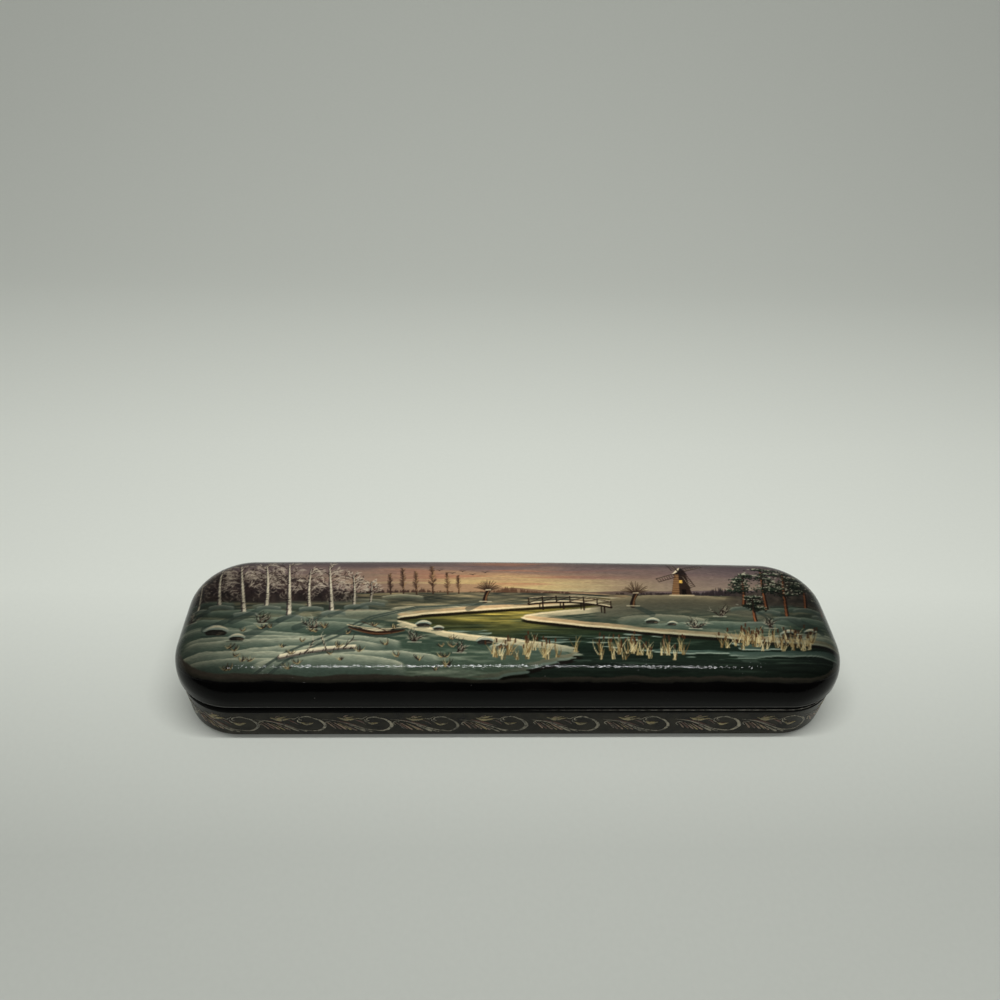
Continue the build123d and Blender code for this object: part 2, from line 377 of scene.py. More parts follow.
def on_wall(along, up, lift):
    """The wall's outside: a point that walks the rounded oblong, pushed out by the taper at its height.

    The walk starts at the middle of the front. The core corner that the walk turns about and the way
    that the wall faces both change evenly along each straight or corner, so they are interpolated."""
    radius = LID_CORNER - BASE_INSET - WALL_TAPER * (1 - np.asarray(up) / WALL_HEIGHT)
    bend = (LID_CORNER - BASE_INSET - WALL_TAPER / 2) * math.pi / 2
    lengths = np.array([0, CORE_X, bend, 2 * CORE_Y, bend, 2 * CORE_X, bend, 2 * CORE_Y, bend, CORE_X])
    stations = np.cumsum(lengths)
    x, y = CORE_X, CORE_Y
    core_x = np.interp(along, stations, [0, x, x, x, x, -x, -x, -x, -x, 0], period=stations[-1])
    core_y = np.interp(along, stations, [-y, -y, -y, y, y, y, y, -y, -y, -y], period=stations[-1])
    turns = np.radians([-90, -90, 0, 0, 90, 90, 180, 180, 270, 270])
    facing = np.interp(along % stations[-1], stations, turns)
    out = radius + lift
    return np.stack([core_x + out * np.cos(facing), core_y + out * np.sin(facing), up + 0 * out], -1)


def brush_strokes(lines, widths, onto):
    """Flat ribbons of paint with a rounded top along many lines at once.

    At each station the ribbon has five corners: two edges just under the surface, two on top at half
    the width, and one buried below; both ends narrow to almost nothing and are closed."""
    ahead = np.gradient(lines, axis=1)
    ahead /= np.maximum(np.linalg.norm(ahead, axis=2, keepdims=True), 1e-9)
    side = np.stack([-ahead[..., 1], ahead[..., 0]], -1)
    steps = lines.shape[1]
    taper = np.sqrt(np.clip(1 - np.linspace(-1, 1, steps) ** 8, 0.02, 1))
    half = (widths * taper)[..., None] / 2
    rings = []
    for share, lift in ((-1, -EDGE_SINK), (-STROKE_CROWN, STROKE_LIFT), (STROKE_CROWN, STROKE_LIFT),
                        (1, -EDGE_SINK), (0, -STROKE_SINK)):
        place = lines + side * half * share
        rings.append(onto(place[..., 0], place[..., 1], lift))
    points = np.stack(rings, 2)
    strokes, _, corners, _ = points.shape
    index = np.arange(strokes * steps * corners).reshape(strokes, steps, corners)
    turned = np.roll(index, -1, 2)
    faces = np.stack([index[:, :-1], turned[:, :-1], turned[:, 1:], index[:, 1:]], -1)
    caps = [list(ring) for ring in index[:, 0, ::-1]] + [list(ring) for ring in index[:, -1]]
    return points.reshape(-1, 3), faces.reshape(-1, 4), caps


bend_length = (LID_CORNER - BASE_INSET - WALL_TAPER / 2) * 2 * math.pi
wall_length = 4 * (CORE_X + CORE_Y) + bend_length
rest = np.linspace(FRONT_HOOKS[-1], wall_length + FRONT_HOOKS[0], SCROLL_REPEATS - len(FRONT_HOOKS) + 2)
hooks = np.concatenate([FRONT_HOOKS, rest[1:-1]])
lines = np.array([through(places, STROKE_STEPS) for _, places, _ in SCROLL_STROKES])
steps = np.linspace(0, 1, STROKE_STEPS)
stroke_widths = np.array([np.interp(steps, np.linspace(0, 1, len(widths)), widths)
                          for _, _, widths in SCROLL_STROKES])
hand = np.random.default_rng(HAND_SEED)
each_stroke = (SCROLL_REPEATS, len(SCROLL_STROKES), 1)
scroll_lines = np.repeat(lines[None], SCROLL_REPEATS, 0) + hand.normal(0, HAND_SLIP, each_stroke + (2,))
scroll_lines[..., 0] += (hooks - HOOK_AT)[:, None, None]
scroll_lines[..., 1] = SCROLL_FOOT + SCROLL_SQUEEZE * scroll_lines[..., 1]
scroll_widths = stroke_widths[None] * hand.uniform(*HAND_WIDTHS, each_stroke)
flat_lines = scroll_lines.reshape(-1, STROKE_STEPS, 2)
points, faces, caps = brush_strokes(flat_lines, scroll_widths.reshape(-1, STROKE_STEPS), on_wall)
scroll = make_piece("gold_scroll", points, faces, caps)
shades = np.array([colour + (1.0,) for colour, _, _ in SCROLL_STROKES])
shades = np.repeat(shades[None], SCROLL_REPEATS, 0) * hand.uniform(*HAND_SHADES, each_stroke)
shades = np.repeat(shades.reshape(-1, 4), STROKE_STEPS * STROKE_CORNERS, 0)
scroll.data.color_attributes.new("paint", "FLOAT_COLOR", "POINT").data.foreach_set("color", shades.ravel())


def scaled(tree, colour, share):
    """A colour made lighter or darker by a value."""
    return node(tree, "VectorMath", {0: colour, "Scale": share}, operation="SCALE").outputs[0]


bronze, tree, shader, place = new_material("worn_bronze_paint")
paint = node(tree, "Attribute", attribute_name="paint").outputs["Color"]
rub_and_highlight = spread(tree, noise(tree, place, RUB_GRAIN, 3.0), 0.46, 0.62)
powder = spread(tree, noise(tree, place, POWDER_GRAIN, 1.0), 0.3, 0.7, 0.7, 1.25)
feed(tree, shader, {
    "Base Color": mixed(tree, product(tree, rub_and_highlight, 0.75), scaled(tree, paint, powder), WALL_BROWN),
    "Metallic": spread(tree, rub_and_highlight, 0, 1, 0.45, 0.1),
    "Roughness": spread(tree, rub_and_highlight, 0, 1, 0.42, 0.25),
})
scroll.data.materials.append(bronze)
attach(scroll, "base")


# Base liner
# A thinner wound ring glued inside the wall. It stands above the wall as the lip that the lid closes
# over; the inside and the top edge are red, the outside of the lip is black.
LINER_INSET = 3.45
LIP_EDGE = 0.35
LIP_BLACK_FROM = LID_CORNER - LINER_INSET - LIP_EDGE
INSIDE_GLOSS = 0.14
PAINT_FADE = 0.1


def on_vectors(tree, operation, *values):
    """The result of a Vector Math node on vectors, in their order; a length or dot product is a number."""
    made = node(tree, "VectorMath", dict(enumerate(values)), operation=operation)
    return made.outputs["Value" if operation in ("LENGTH", "DOT_PRODUCT") else "Vector"]


def outward(tree, place):
    """How far a place lies from the oblong core of the plan, which is the corner radius it would be on."""
    size = on_vectors(tree, "ABSOLUTE", on_vectors(tree, "MULTIPLY", place, (1, 1, 0)))
    over = on_vectors(tree, "SUBTRACT", size, (CORE_X * MM, CORE_Y * MM, 0))
    return on_vectors(tree, "LENGTH", on_vectors(tree, "MAXIMUM", over, (0, 0, 0)))


def red_inside(black_from):
    """A paint that is red up to a corner radius of the plan and black outside it."""
    def paint(tree, place):
        share = spread(tree, outward(tree, place), (black_from - PAINT_FADE) * MM, black_from * MM)
        return mixed(tree, share, red_paint(tree, place), black_paint(tree, place))
    return paint


finish("base_liner", lacquer("liner_lacquer", red_inside(LIP_BLACK_FROM), INSIDE_GLOSS))


# Hinges
# Two small hinges of rolled sheet brass let into the back walls, each with a drawn wire pin, held by
# round-headed rivets; the brass has dulled and is darkest where fingers never rub it.
BRASS_BRIGHT = (0.62, 0.43, 0.17, 1)
BRASS_DULL = (0.27, 0.17, 0.065, 1)
BRASS_STAIN = (0.075, 0.05, 0.026, 1)
DRAWN_DEPTH = 0.004 * MM
DRAWN_LINES = (250.0, 7000.0, 7000.0)
BRASS_CLOUDS = 420.0
STAIN_GRAIN = 1400.0

brass, tree, shader, place = new_material("aged_brass")
clouds = noise(tree, place, BRASS_CLOUDS, 4.0)
drawn = noise(tree, stretched(tree, place, DRAWN_LINES), 1.0)
colour = mixed(tree, spread(tree, clouds, 0.38, 0.62), BRASS_DULL, BRASS_BRIGHT)
stains = spread(tree, noise(tree, place, STAIN_GRAIN, 3.0), 0.60, 0.70)
bump = node(tree, "Bump", {"Height": drawn, "Strength": 0.6, "Distance": DRAWN_DEPTH})
feed(tree, shader, {
    "Base Color": mixed(tree, stains, colour, BRASS_STAIN),
    "Roughness": spread(tree, clouds, 0.3, 0.7, 0.42, 0.24),
    "Normal": bump.outputs[0],
})
shader.inputs["Metallic"].default_value = 1.0
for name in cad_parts:
    if "hinge" in name or "rivets" in name:
        finish(name, brass)


# Lid rim
# The wound ring glued under the shell; its rounded lower edge overhangs the base. Black lacquer outside
# and under the edge, with a thin painted highlight along the corner, and red inside.
LID_WALL = 3.0
RIM_EDGE = 0.5
RIM_BLACK_FROM = LID_CORNER - LID_WALL + RIM_EDGE
# The light line along the lid's lower edge is a painted highlight, a painted reflection of the floor.
RIM_HIGHLIGHT_AT = 14.2 * MM
RIM_HIGHLIGHT_HALF = 0.34 * MM
RIM_LEAST = 0.75
RIM_HIGHLIGHT_GREY = (0.075, 0.074, 0.068, 1)


def rim_paint(tree, place):
    """Black outside and red inside, with a thin painted highlight along the lower edge."""
    outer = spread(tree, outward(tree, place), RIM_BLACK_FROM * MM, (RIM_BLACK_FROM + RIM_EDGE) * MM)
    rub_and_highlight = product(tree, highlight_line(tree, place, RIM_HIGHLIGHT_AT, RIM_HIGHLIGHT_HALF, RIM_LEAST), outer)
    return mixed(tree, rub_and_highlight, red_inside(RIM_BLACK_FROM)(tree, place), RIM_HIGHLIGHT_GREY)


finish("lid_rim", lacquer("lid_rim_lacquer", rim_paint))


# Lid shell
# Paper board pressed over a former into a low dome with a rolled shoulder, hardened with oil and built
# up with black lacquer; the hollow inside is red.
SHOULDER = 8.6
CROWN_LONG = 1.0
CROWN_ACROSS = 1.4
LID_TOP = lid_high.z / MM
SEAM = lid_low.z / MM
LONG_RADIUS = ((lid_high.x / MM) ** 2 + CROWN_LONG**2) / (2 * CROWN_LONG)
ACROSS_RADIUS = ((lid_high.y / MM) ** 2 + CROWN_ACROSS**2) / (2 * CROWN_ACROSS)
SHELL_MIDDLE_COLUMNS = 180
SHELL_END_COLUMNS = 48
SHELL_ROWS = 120
HOLLOW_ROWS = 30
SHARP_ANGLE = math.radians(40)


def lid_point(x, y, inset=0.0):
    """The lid's surface above a place of the unrolled sheet, or the same surface moved in by inset.

    Inside the oblong where the shoulder starts, the sheet lies on the crown: two gentle arcs, along and
    across. Past it, the way out from the oblong is wound down a circle of the shoulder's radius, whose
    centre follows the crown moved in by that radius, and it is stretched to end exactly at the seam."""
    radius = SHOULDER - inset
    start = LID_CORNER - SHOULDER
    core_x = np.clip(x, -CORE_X, CORE_X)
    core_y = np.clip(y, -CORE_Y, CORE_Y)
    way = np.stack([x - core_x, y - core_y], -1)
    far = np.linalg.norm(way, axis=-1)
    way = way / np.maximum(far, 1e-9)[..., None]
    out = np.maximum(far - start, 0)
    ring_x = core_x + way[..., 0] * np.minimum(far, start)
    ring_y = core_y + way[..., 1] * np.minimum(far, start)
    sunk = ring_x**2 / (2 * (LONG_RADIUS - SHOULDER)) + ring_y**2 / (2 * (ACROSS_RADIUS - SHOULDER))
    centre = LID_TOP - SHOULDER - sunk
    last = np.arccos(np.clip((SEAM - centre) / radius, -1, 1))
    turn = out / (SHOULDER * math.pi / 2) * last
    plan_x = ring_x + way[..., 0] * radius * np.sin(turn)
    plan_y = ring_y + way[..., 1] * radius * np.sin(turn)
    crown = LID_TOP - inset - plan_x**2 / (2 * LONG_RADIUS) - plan_y**2 / (2 * ACROSS_RADIUS)
    rolled = centre + radius * np.cos(turn)
    slope = way[..., 0] * ring_x / (LONG_RADIUS - SHOULDER)
    slope = slope + way[..., 1] * ring_y / (ACROSS_RADIUS - SHOULDER)
    return np.stack([plan_x, plan_y, np.where(turn > slope, rolled, crown)], -1)


def sheet_columns(round_long, round_across, middle, ends):
    """Places along a rounded oblong sheet and the sheet's half width at each; the ends are spaced by angle.

    The corners are quarter ellipses, of one radius along the lid and another across it."""
    turn = np.linspace(0, math.pi / 2, ends + 1)[1:]
    end_x = CORE_X + round_long * np.sin(turn)
    end_half = CORE_Y + round_across * np.cos(turn)
    across = np.full(middle + 1, CORE_Y + round_across)
    x = np.concatenate([-end_x[::-1], np.linspace(-CORE_X, CORE_X, middle + 1), end_x])
    return x, np.concatenate([end_half[::-1], across, end_half])


def grid_faces(rows, columns, first=0):
    """The four-cornered faces of a grid whose points are counted row by row."""
    index = first + np.arange(rows * columns).reshape(rows, columns)
    return np.stack([index[:-1, :-1], index[:-1, 1:], index[1:, 1:], index[1:, :-1]], -1).reshape(-1, 4)


def border(rows, columns, first=0):
    """The points round a grid in order, starting with the first row."""
    index = first + np.arange(rows * columns).reshape(rows, columns)
    return np.concatenate([index[0, :-1], index[:-1, -1], index[-1, :0:-1], index[:0:-1, 0]])


def joined_rims(coarse, fine, steps):
    """Faces between two closed rims, where each edge of the coarse one meets several of the fine one."""
    at = np.concatenate([[0], np.cumsum(steps)])
    coarse = np.append(coarse, coarse[0])
    fine = np.append(fine, fine[0])
    return [[coarse[k], coarse[k + 1], *fine[at[k]:at[k + 1] + 1][::-1]] for k in range(len(steps))]


SHEET_ROUND = LID_CORNER - SHOULDER + SHOULDER * math.pi / 2
shell_x, shell_half = sheet_columns(SHEET_ROUND, SHEET_ROUND, SHELL_MIDDLE_COLUMNS, SHELL_END_COLUMNS)
count = len(shell_x)
rows_out = np.linspace(-1, 1, SHELL_ROWS + 1)[:, None]
rows_in = np.linspace(-1, 1, HOLLOW_ROWS + 1)[:, None]
outside = lid_point(np.repeat(shell_x[None], SHELL_ROWS + 1, 0), rows_out * shell_half)
inside = lid_point(np.repeat(shell_x[None], HOLLOW_ROWS + 1, 0), rows_in * shell_half, LID_WALL)
points = np.concatenate([outside.reshape(-1, 3), inside.reshape(-1, 3)])
first_in = outside.size // 3
out_faces = grid_faces(SHELL_ROWS + 1, count)
in_faces = grid_faces(HOLLOW_ROWS + 1, count, first_in)[:, ::-1]
rim_out = border(SHELL_ROWS + 1, count)
rim_in = border(HOLLOW_ROWS + 1, count, first_in)
side = np.full(HOLLOW_ROWS, SHELL_ROWS // HOLLOW_ROWS)
front = np.ones(count - 1, int)
seam_faces = joined_rims(rim_in, rim_out, np.concatenate([front, side, front, side]))
shell = make_piece("lid_shell_board", points, np.concatenate([out_faces, in_faces]), seam_faces)
shell.data.set_sharp_from_angle(angle=SHARP_ANGLE)
shell.data.materials.append(lacquer("lid_black_lacquer", black_paint))
shell.data.materials.append(lacquer("lid_red_lacquer", red_paint, INSIDE_GLOSS))
slots = np.zeros(len(shell.data.polygons), np.int32)
slots[len(out_faces):len(out_faces) + len(in_faces)] = 1
shell.data.polygons.foreach_set("material_index", slots)
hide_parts("lid_shell")
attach(shell, "lid")


# Lid picture
# A winter evening painted in thin oil colours on the black lid, in two coats of glaze under clear
# varnish. It runs over the shoulder, right down the ends, to a dark edge that fades into the black.
PICTURE_LONG = 20.4
PICTURE_ACROSS = 16.4
PICTURE_MIDDLE_COLUMNS = 640
PICTURE_END_COLUMNS = 104
PICTURE_ROWS = 216
PICTURE_CUT = 108
UNDER_STEP_COLUMNS = 8
UNDER_STEP_ROWS = 9
PICTURE_LIFT = 0.03
PICTURE_TUCK = 0.05
PICTURE_UNDER = 0.15
PICTURE_PEEL = 0.046 * MM
PICTURE_GLOSS = 0.03
PICTURE_LINES = (900.0, 3200.0, 3200.0)
# The rows of the film's own map, from 0 to 1: its top, its underside, and the two sides of its rim.
MAP_TOP = (0.06, 0.995)
MAP_UNDER = (0.005, 0.03)
MAP_RIM = (0.05, 0.04)
BRUSH_EDGE = 0.2
BRUSH_DABS = 2600
LATTICE = 211
LATTICE_SEED = 3
FAN = 0.0026
GLOW_X = -5.0
HORIZON = 6.2
EVENING = ((218, 200, 146), (206, 178, 124), (174, 138, 108), (126, 106, 100), (98, 86, 88))
DUSK = ((146, 128, 112), (130, 113, 103), (114, 99, 95), (100, 87, 87), (88, 76, 79))
SHADED_SNOW = ((62, 63, 56), (58, 65, 56), (56, 69, 59), (62, 76, 64), (75, 87, 73))
LIT_SNOW = ((176, 156, 118), (170, 156, 122), (156, 152, 126), (148, 153, 131), (142, 149, 129))
WATER = ((100, 94, 62), (56, 60, 40), (38, 48, 36), (34, 45, 37), (34, 42, 35))
# Where things stand, along the picture and up it; trees have a height, stones a width and a height.
POPLARS = ((-33, 5.6, 8.5), (-29.5, 5.8, 10.5), (-26, 5.5, 9.5), (-21.5, 5.8, 11.5), (-17.5, 5.6, 9),
           (-14.5, 5.9, 7.5))
BIRCHES = ((-85, 0.2, 12), (-79, 1.6, 15.5), (-72.5, -0.8, 19), (-66.5, 1.4, 17), (-60.5, -2.2, 20.5),
           (-55, 1.0, 15), (-49, -0.6, 18), (-43, 1.6, 12), (-38.5, 2.6, 8))
PINES = ((87, -0.5, 10), (81.5, 1.6, 13.5), (70.5, 0.6, 16.5), (76, -1.6, 17.5), (64, 1.8, 12.5),
         (67, -3.6, 9))
WILLOWS = ((-7.5, 2.9, 8.5), (33.0, 1.6, 9.5))
BOULDERS = ((-24.5, -6.4, 4.2, 2.0), (-20.5, -7.6, 3.0, 1.5), (-8, -12.2, 4.8, 2.2),
            (-3.5, -13.6, 3.2, 1.6), (-80, -9.0, 6.5, 3.0), (-74.5, -10.8, 4.4, 2.1), (38, -4.8, 4.0, 1.7),
            (43.5, -5.4, 2.8, 1.3), (76, -9.0, 5.0, 2.2), (82, -8.0, 3.4, 1.7))
BUSHES = ((-68, -5), (-54, -7), (-27, -11.5), (-15, -15), (-87, -4), (57, -2), (50, -6.5), (71, -6))
BIRDS = ((-16, 14.2), (-13.2, 15.0), (-10.5, 13.6), (-7.0, 14.6), (-19.5, 15.4))
MILL_FOOT = np.array([47.0, 6.0])
MILL_SCALE = 1.36
column_x, column_half = sheet_columns(
    PICTURE_LONG, PICTURE_ACROSS, PICTURE_MIDDLE_COLUMNS, PICTURE_END_COLUMNS)
row_share = np.linspace(-1, 1, PICTURE_ROWS + 1)
sheet_x = np.repeat(column_x[None], PICTURE_ROWS + 1, 0)
py = row_share[:, None] * column_half
# What stands upright spreads a little towards the back, as the painter sees it from the front.
px = sheet_x / (1 + FAN * py)
canvas = np.zeros(px.shape + (3,))
lattice = np.random.default_rng(LATTICE_SEED).uniform(-1, 1, (LATTICE, LATTICE))


def tint(red, green, blue):
    """A screen colour of 0 to 255 as a paint of 0 to 1."""
    return np.array([red, green, blue]) / 255


def cloud(x, y, seed, octaves=3):
    """Smooth noise of about -1 to 1: lattice values blended by a smooth step, each octave half the size."""
    total = 0.0
    for octave in range(octaves):
        u = x * 2**octave + 7.31 * seed
        v = y * 2**octave + 3.17 * seed
        i = np.floor(u).astype(int)
        j = np.floor(v).astype(int)
        f = (u - i) ** 2 * (3 - 2 * (u - i))
        g = (v - j) ** 2 * (3 - 2 * (v - j))
        i, j, i_next, j_next = i % LATTICE, j % LATTICE, (i + 1) % LATTICE, (j + 1) % LATTICE
        near = lattice[i, j] * (1 - f) + lattice[i_next, j] * f
        far = lattice[i, j_next] * (1 - f) + lattice[i_next, j_next] * f
        total = total + (near * (1 - g) + far * g) / 2**octave
    return total / 1.6


def rise(low, high, value):
    """0 at low, 1 at high, and a smooth step between; low may be the greater."""
    share = np.clip((value - low) / (high - low), 0, 1)
    return share * share * (3 - 2 * share)


def blends(share, *colours):
    """A paint that passes evenly through the given screen colours as share goes from 0 to 1."""
    place = np.clip(share, 0, 1) * (len(colours) - 1)
    step = np.minimum(np.asarray(place).astype(int), len(colours) - 2)
    part = (place - step)[..., None]
    table = np.array(colours) / 255
    return table[step] * (1 - part) + table[step + 1] * part


def wash(share, colour, columns=slice(None)):
    """Lays a colour over some columns of the canvas, as thick as share says at each point."""
    patch = canvas[:, columns]
    patch += (colour - patch) * share[..., None]


def columns_between(left, right):
    """The columns of the canvas that hold the picture's places from left to right."""
    return slice(*np.searchsorted(column_x, (left - 0.06 * abs(left), right + 0.06 * abs(right))))


def mark(points, widths, colour, strength=1.0):
    """One brush mark: the canvas takes the colour within half the width of a bent line, softly edged."""
    points = np.asarray(points, float)
    widths = np.interp(np.linspace(0, 1, len(points)), np.linspace(0, 1, len(widths)), widths)
    room = widths.max() / 2 + BRUSH_EDGE
    low = points.min(0) - room
    high = points.max(0) + room
    columns = columns_between(low[0], high[0])
    halves = column_half[columns]
    if not len(halves):
        return
    ends = np.array([halves.min(), halves.max()])
    rows = slice(*np.searchsorted(row_share, ((low[1] / ends).min(), (high[1] / ends).max())))
    x = px[rows, columns]
    y = py[rows, columns]
    cover = np.zeros(x.shape)
    for a, b, wide_a, wide_b in zip(points[:-1], points[1:], widths[:-1], widths[1:]):
        d = b - a
        t = np.clip(((x - a[0]) * d[0] + (y - a[1]) * d[1]) / max(d @ d, 1e-9), 0, 1)
        away = np.hypot(x - a[0] - t * d[0], y - a[1] - t * d[1])
        wide = wide_a + (wide_b - wide_a) * t
        inked = np.clip(0.5 + (wide / 2 - away) / BRUSH_EDGE, 0, 1) * np.minimum(1, wide / BRUSH_EDGE)
        cover = np.maximum(cover, inked)
    patch = canvas[rows, columns]
    patch += (colour - patch) * (cover * strength)[..., None]


def bow(start, end, sag=0.0, count=6):
    """Points of a line from start to end that bulges to its left by sag times its length."""
    start = np.asarray(start, float)
    along = np.asarray(end, float) - start
    t = np.linspace(0, 1, count)[:, None]
    return start + along * t + np.array([-along[1], along[0]]) * sag * 4 * t * (1 - t)


def tip_of(start, aim, long, flat=1.0):
    """The far end of a straight line from start, turned by aim from upright; flat squeezes its height."""
    return np.asarray(start) + (long * math.sin(aim), flat * long * math.cos(aim))


def along_line(line, share):
    """The place at a share of a line's points."""
    steps = np.linspace(0, 1, len(line))
    return np.array([np.interp(share, steps, line[:, 0]), np.interp(share, steps, line[:, 1])])


def area(corners, colour):
    """A flat patch with straight sides, its corners given anticlockwise: inside every side at once."""
    corners = np.asarray(corners, float)
    columns = columns_between(corners[:, 0].min() - 1, corners[:, 0].max() + 1)
    cover = 1.0
    for a, b in zip(corners, np.roll(corners, -1, 0)):
        d = (b - a) / np.hypot(*(b - a))
        within = d[0] * (py[:, columns] - a[1]) - d[1] * (px[:, columns] - a[0])
        cover = cover * np.clip(0.5 + within / BRUSH_EDGE, 0, 1)
    wash(cover, colour, columns)


def moved(cover, rows):
    """A cover shifted up the canvas by some rows, or down if negative; nothing comes in at the edge."""
    made = np.zeros_like(cover)
    if rows > 0:
        made[rows:] = cover[:-rows]
    else:
        made[:rows] = cover[-rows:]
    return made


def mound(x, y, length, tall, crest, shade, seed):
    """A snow drift: a low arch with a clear lit crest, whose paint thins out towards its foot."""
    columns = columns_between(x - 0.6 * length, x + 0.6 * length)
    cx = px[:, columns]
    cy = py[:, columns]
    u = (cx - x) / (length / 2) + 0.1 * cloud(cx / 7, cy / 9, seed)
    arch = np.clip(1 - u * u, 0, None) ** 0.8
    below = y + tall * arch + 0.3 * cloud(cx / 3.5, 0 * cx, seed + 1) * arch - cy
    inside = rise(-0.1, 0.12, below) * rise(0, 0.35, arch)
    thin = np.exp(-np.clip(below, 0, None) / (0.55 * tall + 0.3))
    grain = 0.85 + 0.15 * cloud(cx / 1.6, cy / 0.5, seed + 2)
    wash(inside * rise(2.4 * tall, 0.9 * tall, below) * 0.9, shade, columns)
    wash(inside * thin * grain, crest, columns)


def warmth(x, spread_out):
    """How much of the evening glow reaches a place along the lid."""
    return np.exp(-(((x - GLOW_X) / spread_out) ** 2))


def paint_sky():
    """Mauve dusk that warms to peach and yellow round the glow, with long streaks of cloud."""
    height = (py - HORIZON) / 15
    streak = cloud(px / 26, py / 2.2, 1) * 0.2 + cloud(px / 9, py / 0.9, 2) * 0.07
    warm = warmth(px, 36)
    evening = blends(height + streak, *EVENING)
    dusk = blends(height + streak, *DUSK)
    canvas[...] = dusk + (evening - dusk) * warm[..., None]
    bars = rise(0.08, 0.5, cloud(px / 30, py / 1.5, 3)) * rise(0.05, 0.3, height) * (0.35 + 0.65 * warm)
    wash(bars * 0.65, blends(warm, (112, 92, 94), (178, 120, 94)))
    low = rise(0.2, 0.7, cloud(px / 20, py / 1.1, 4)) * rise(0.55, 0.1, height) * warm
    wash(low * 0.65, tint(232, 216, 160))


def paint_far_hills(draw):
    """Two hazy ridges, and in front of them a broken line of small trees."""
    warm = warmth(px, 40)
    crest = HORIZON + 2.3 + 1.9 * cloud(px / 34, 0 * px, 5)
    wash(rise(0.12, -0.12, py - crest), blends(warm, (100, 88, 92), (172, 138, 106)))
    crest = HORIZON + 0.9 + 1.2 * cloud(px / 17, 0 * px, 6)
    wash(rise(0.12, -0.12, py - crest), blends(warm, (76, 71, 75), (140, 112, 88)))
    for x in draw.uniform(-90, 90, 760):
        thick = cloud(x / 12, 0.0, 7)
        if thick < -0.3:
            continue
        foot = HORIZON - 0.2 + 0.5 * cloud(x / 15, 0.0, 8)
        tall = (0.8 + 1.8 * max(thick, 0)) * draw.uniform(0.6, 1.3) * (1 + 0.7 * (abs(x) > 45))
        shade = blends(warmth(x, 30), (54, 46, 48), (98, 72, 56))
        mark(bow((x, foot), (x + draw.uniform(-0.2, 0.2), foot + tall)), (0.6, 0.5, 0.1), shade, 0.85)


def paint_snow():
    """The snow plain: grey teal in shade, cream and pink where its relief slopes to the low light."""
    warm = warmth(px, 44)
    depth = (HORIZON - py) / 26
    relief = cloud(px / 22, py / 4.2, 9) + 0.45 * cloud(px / 8, py / 1.7, 10)
    light = np.gradient(relief, axis=0) * 9 + 0.25 * relief
    cold = blends(depth, *SHADED_SNOW)
    bright = blends(depth, *LIT_SNOW)
    lit = np.clip(0.12 + 0.46 * light + 0.3 * warm * rise(0.7, 0.0, depth), 0, 1)
    line = HORIZON - 0.2 + 0.35 * cloud(px / 20, 0 * px, 11)
    wash(rise(0.15, -0.15, py - line), cold + (bright - cold) * lit[..., None])


def stream(y):
    """The stream's middle and half width at a height of the canvas: three bends that widen to the front."""
    middle = 13 + 17 * rise(5.4, 3.4, y) - 44 * rise(3.6, -3.4, y) + 86 * rise(-3.0, -17, y)
    reach = np.clip(5.3 - y, 0, None)
    return middle, 0.5 + 1.35 * reach + 0.05 * reach**2


def paint_drifts(draw):
    """Drifts from far to near, larger towards the front, kept off the stream."""
    for number, y in enumerate(np.linspace(4.6, -19, 60)):
        size = 1 + (5 - y) / 7
        x = draw.uniform(-86, 86)
        middle, half = stream(y)
        gap = abs(x - middle) - half
        pink = 0.8 * (draw.random() < 0.4)
        length = draw.uniform(9, 17) * size
        tall = draw.uniform(0.5, 0.9) * size
        if gap < 4 * size**0.5:
            continue
        warm = warmth(x, 46) * rise(-15, 3, y)
        near = 0.75 * rise(-4, -13, y)
        crest = blends(min(1, 0.15 + warm), (112, 126, 112), (222, 206, 168))
        crest = crest * (1 - near) + tint(210, 203, 174) * near
        crest = crest * (1 - pink * warm) + tint(212, 168, 134) * pink * warm
        shade = blends(warm, (58, 73, 65), (90, 92, 79))
        mound(x, y, min(2 * gap, length), tall, crest, shade, 20 + number)


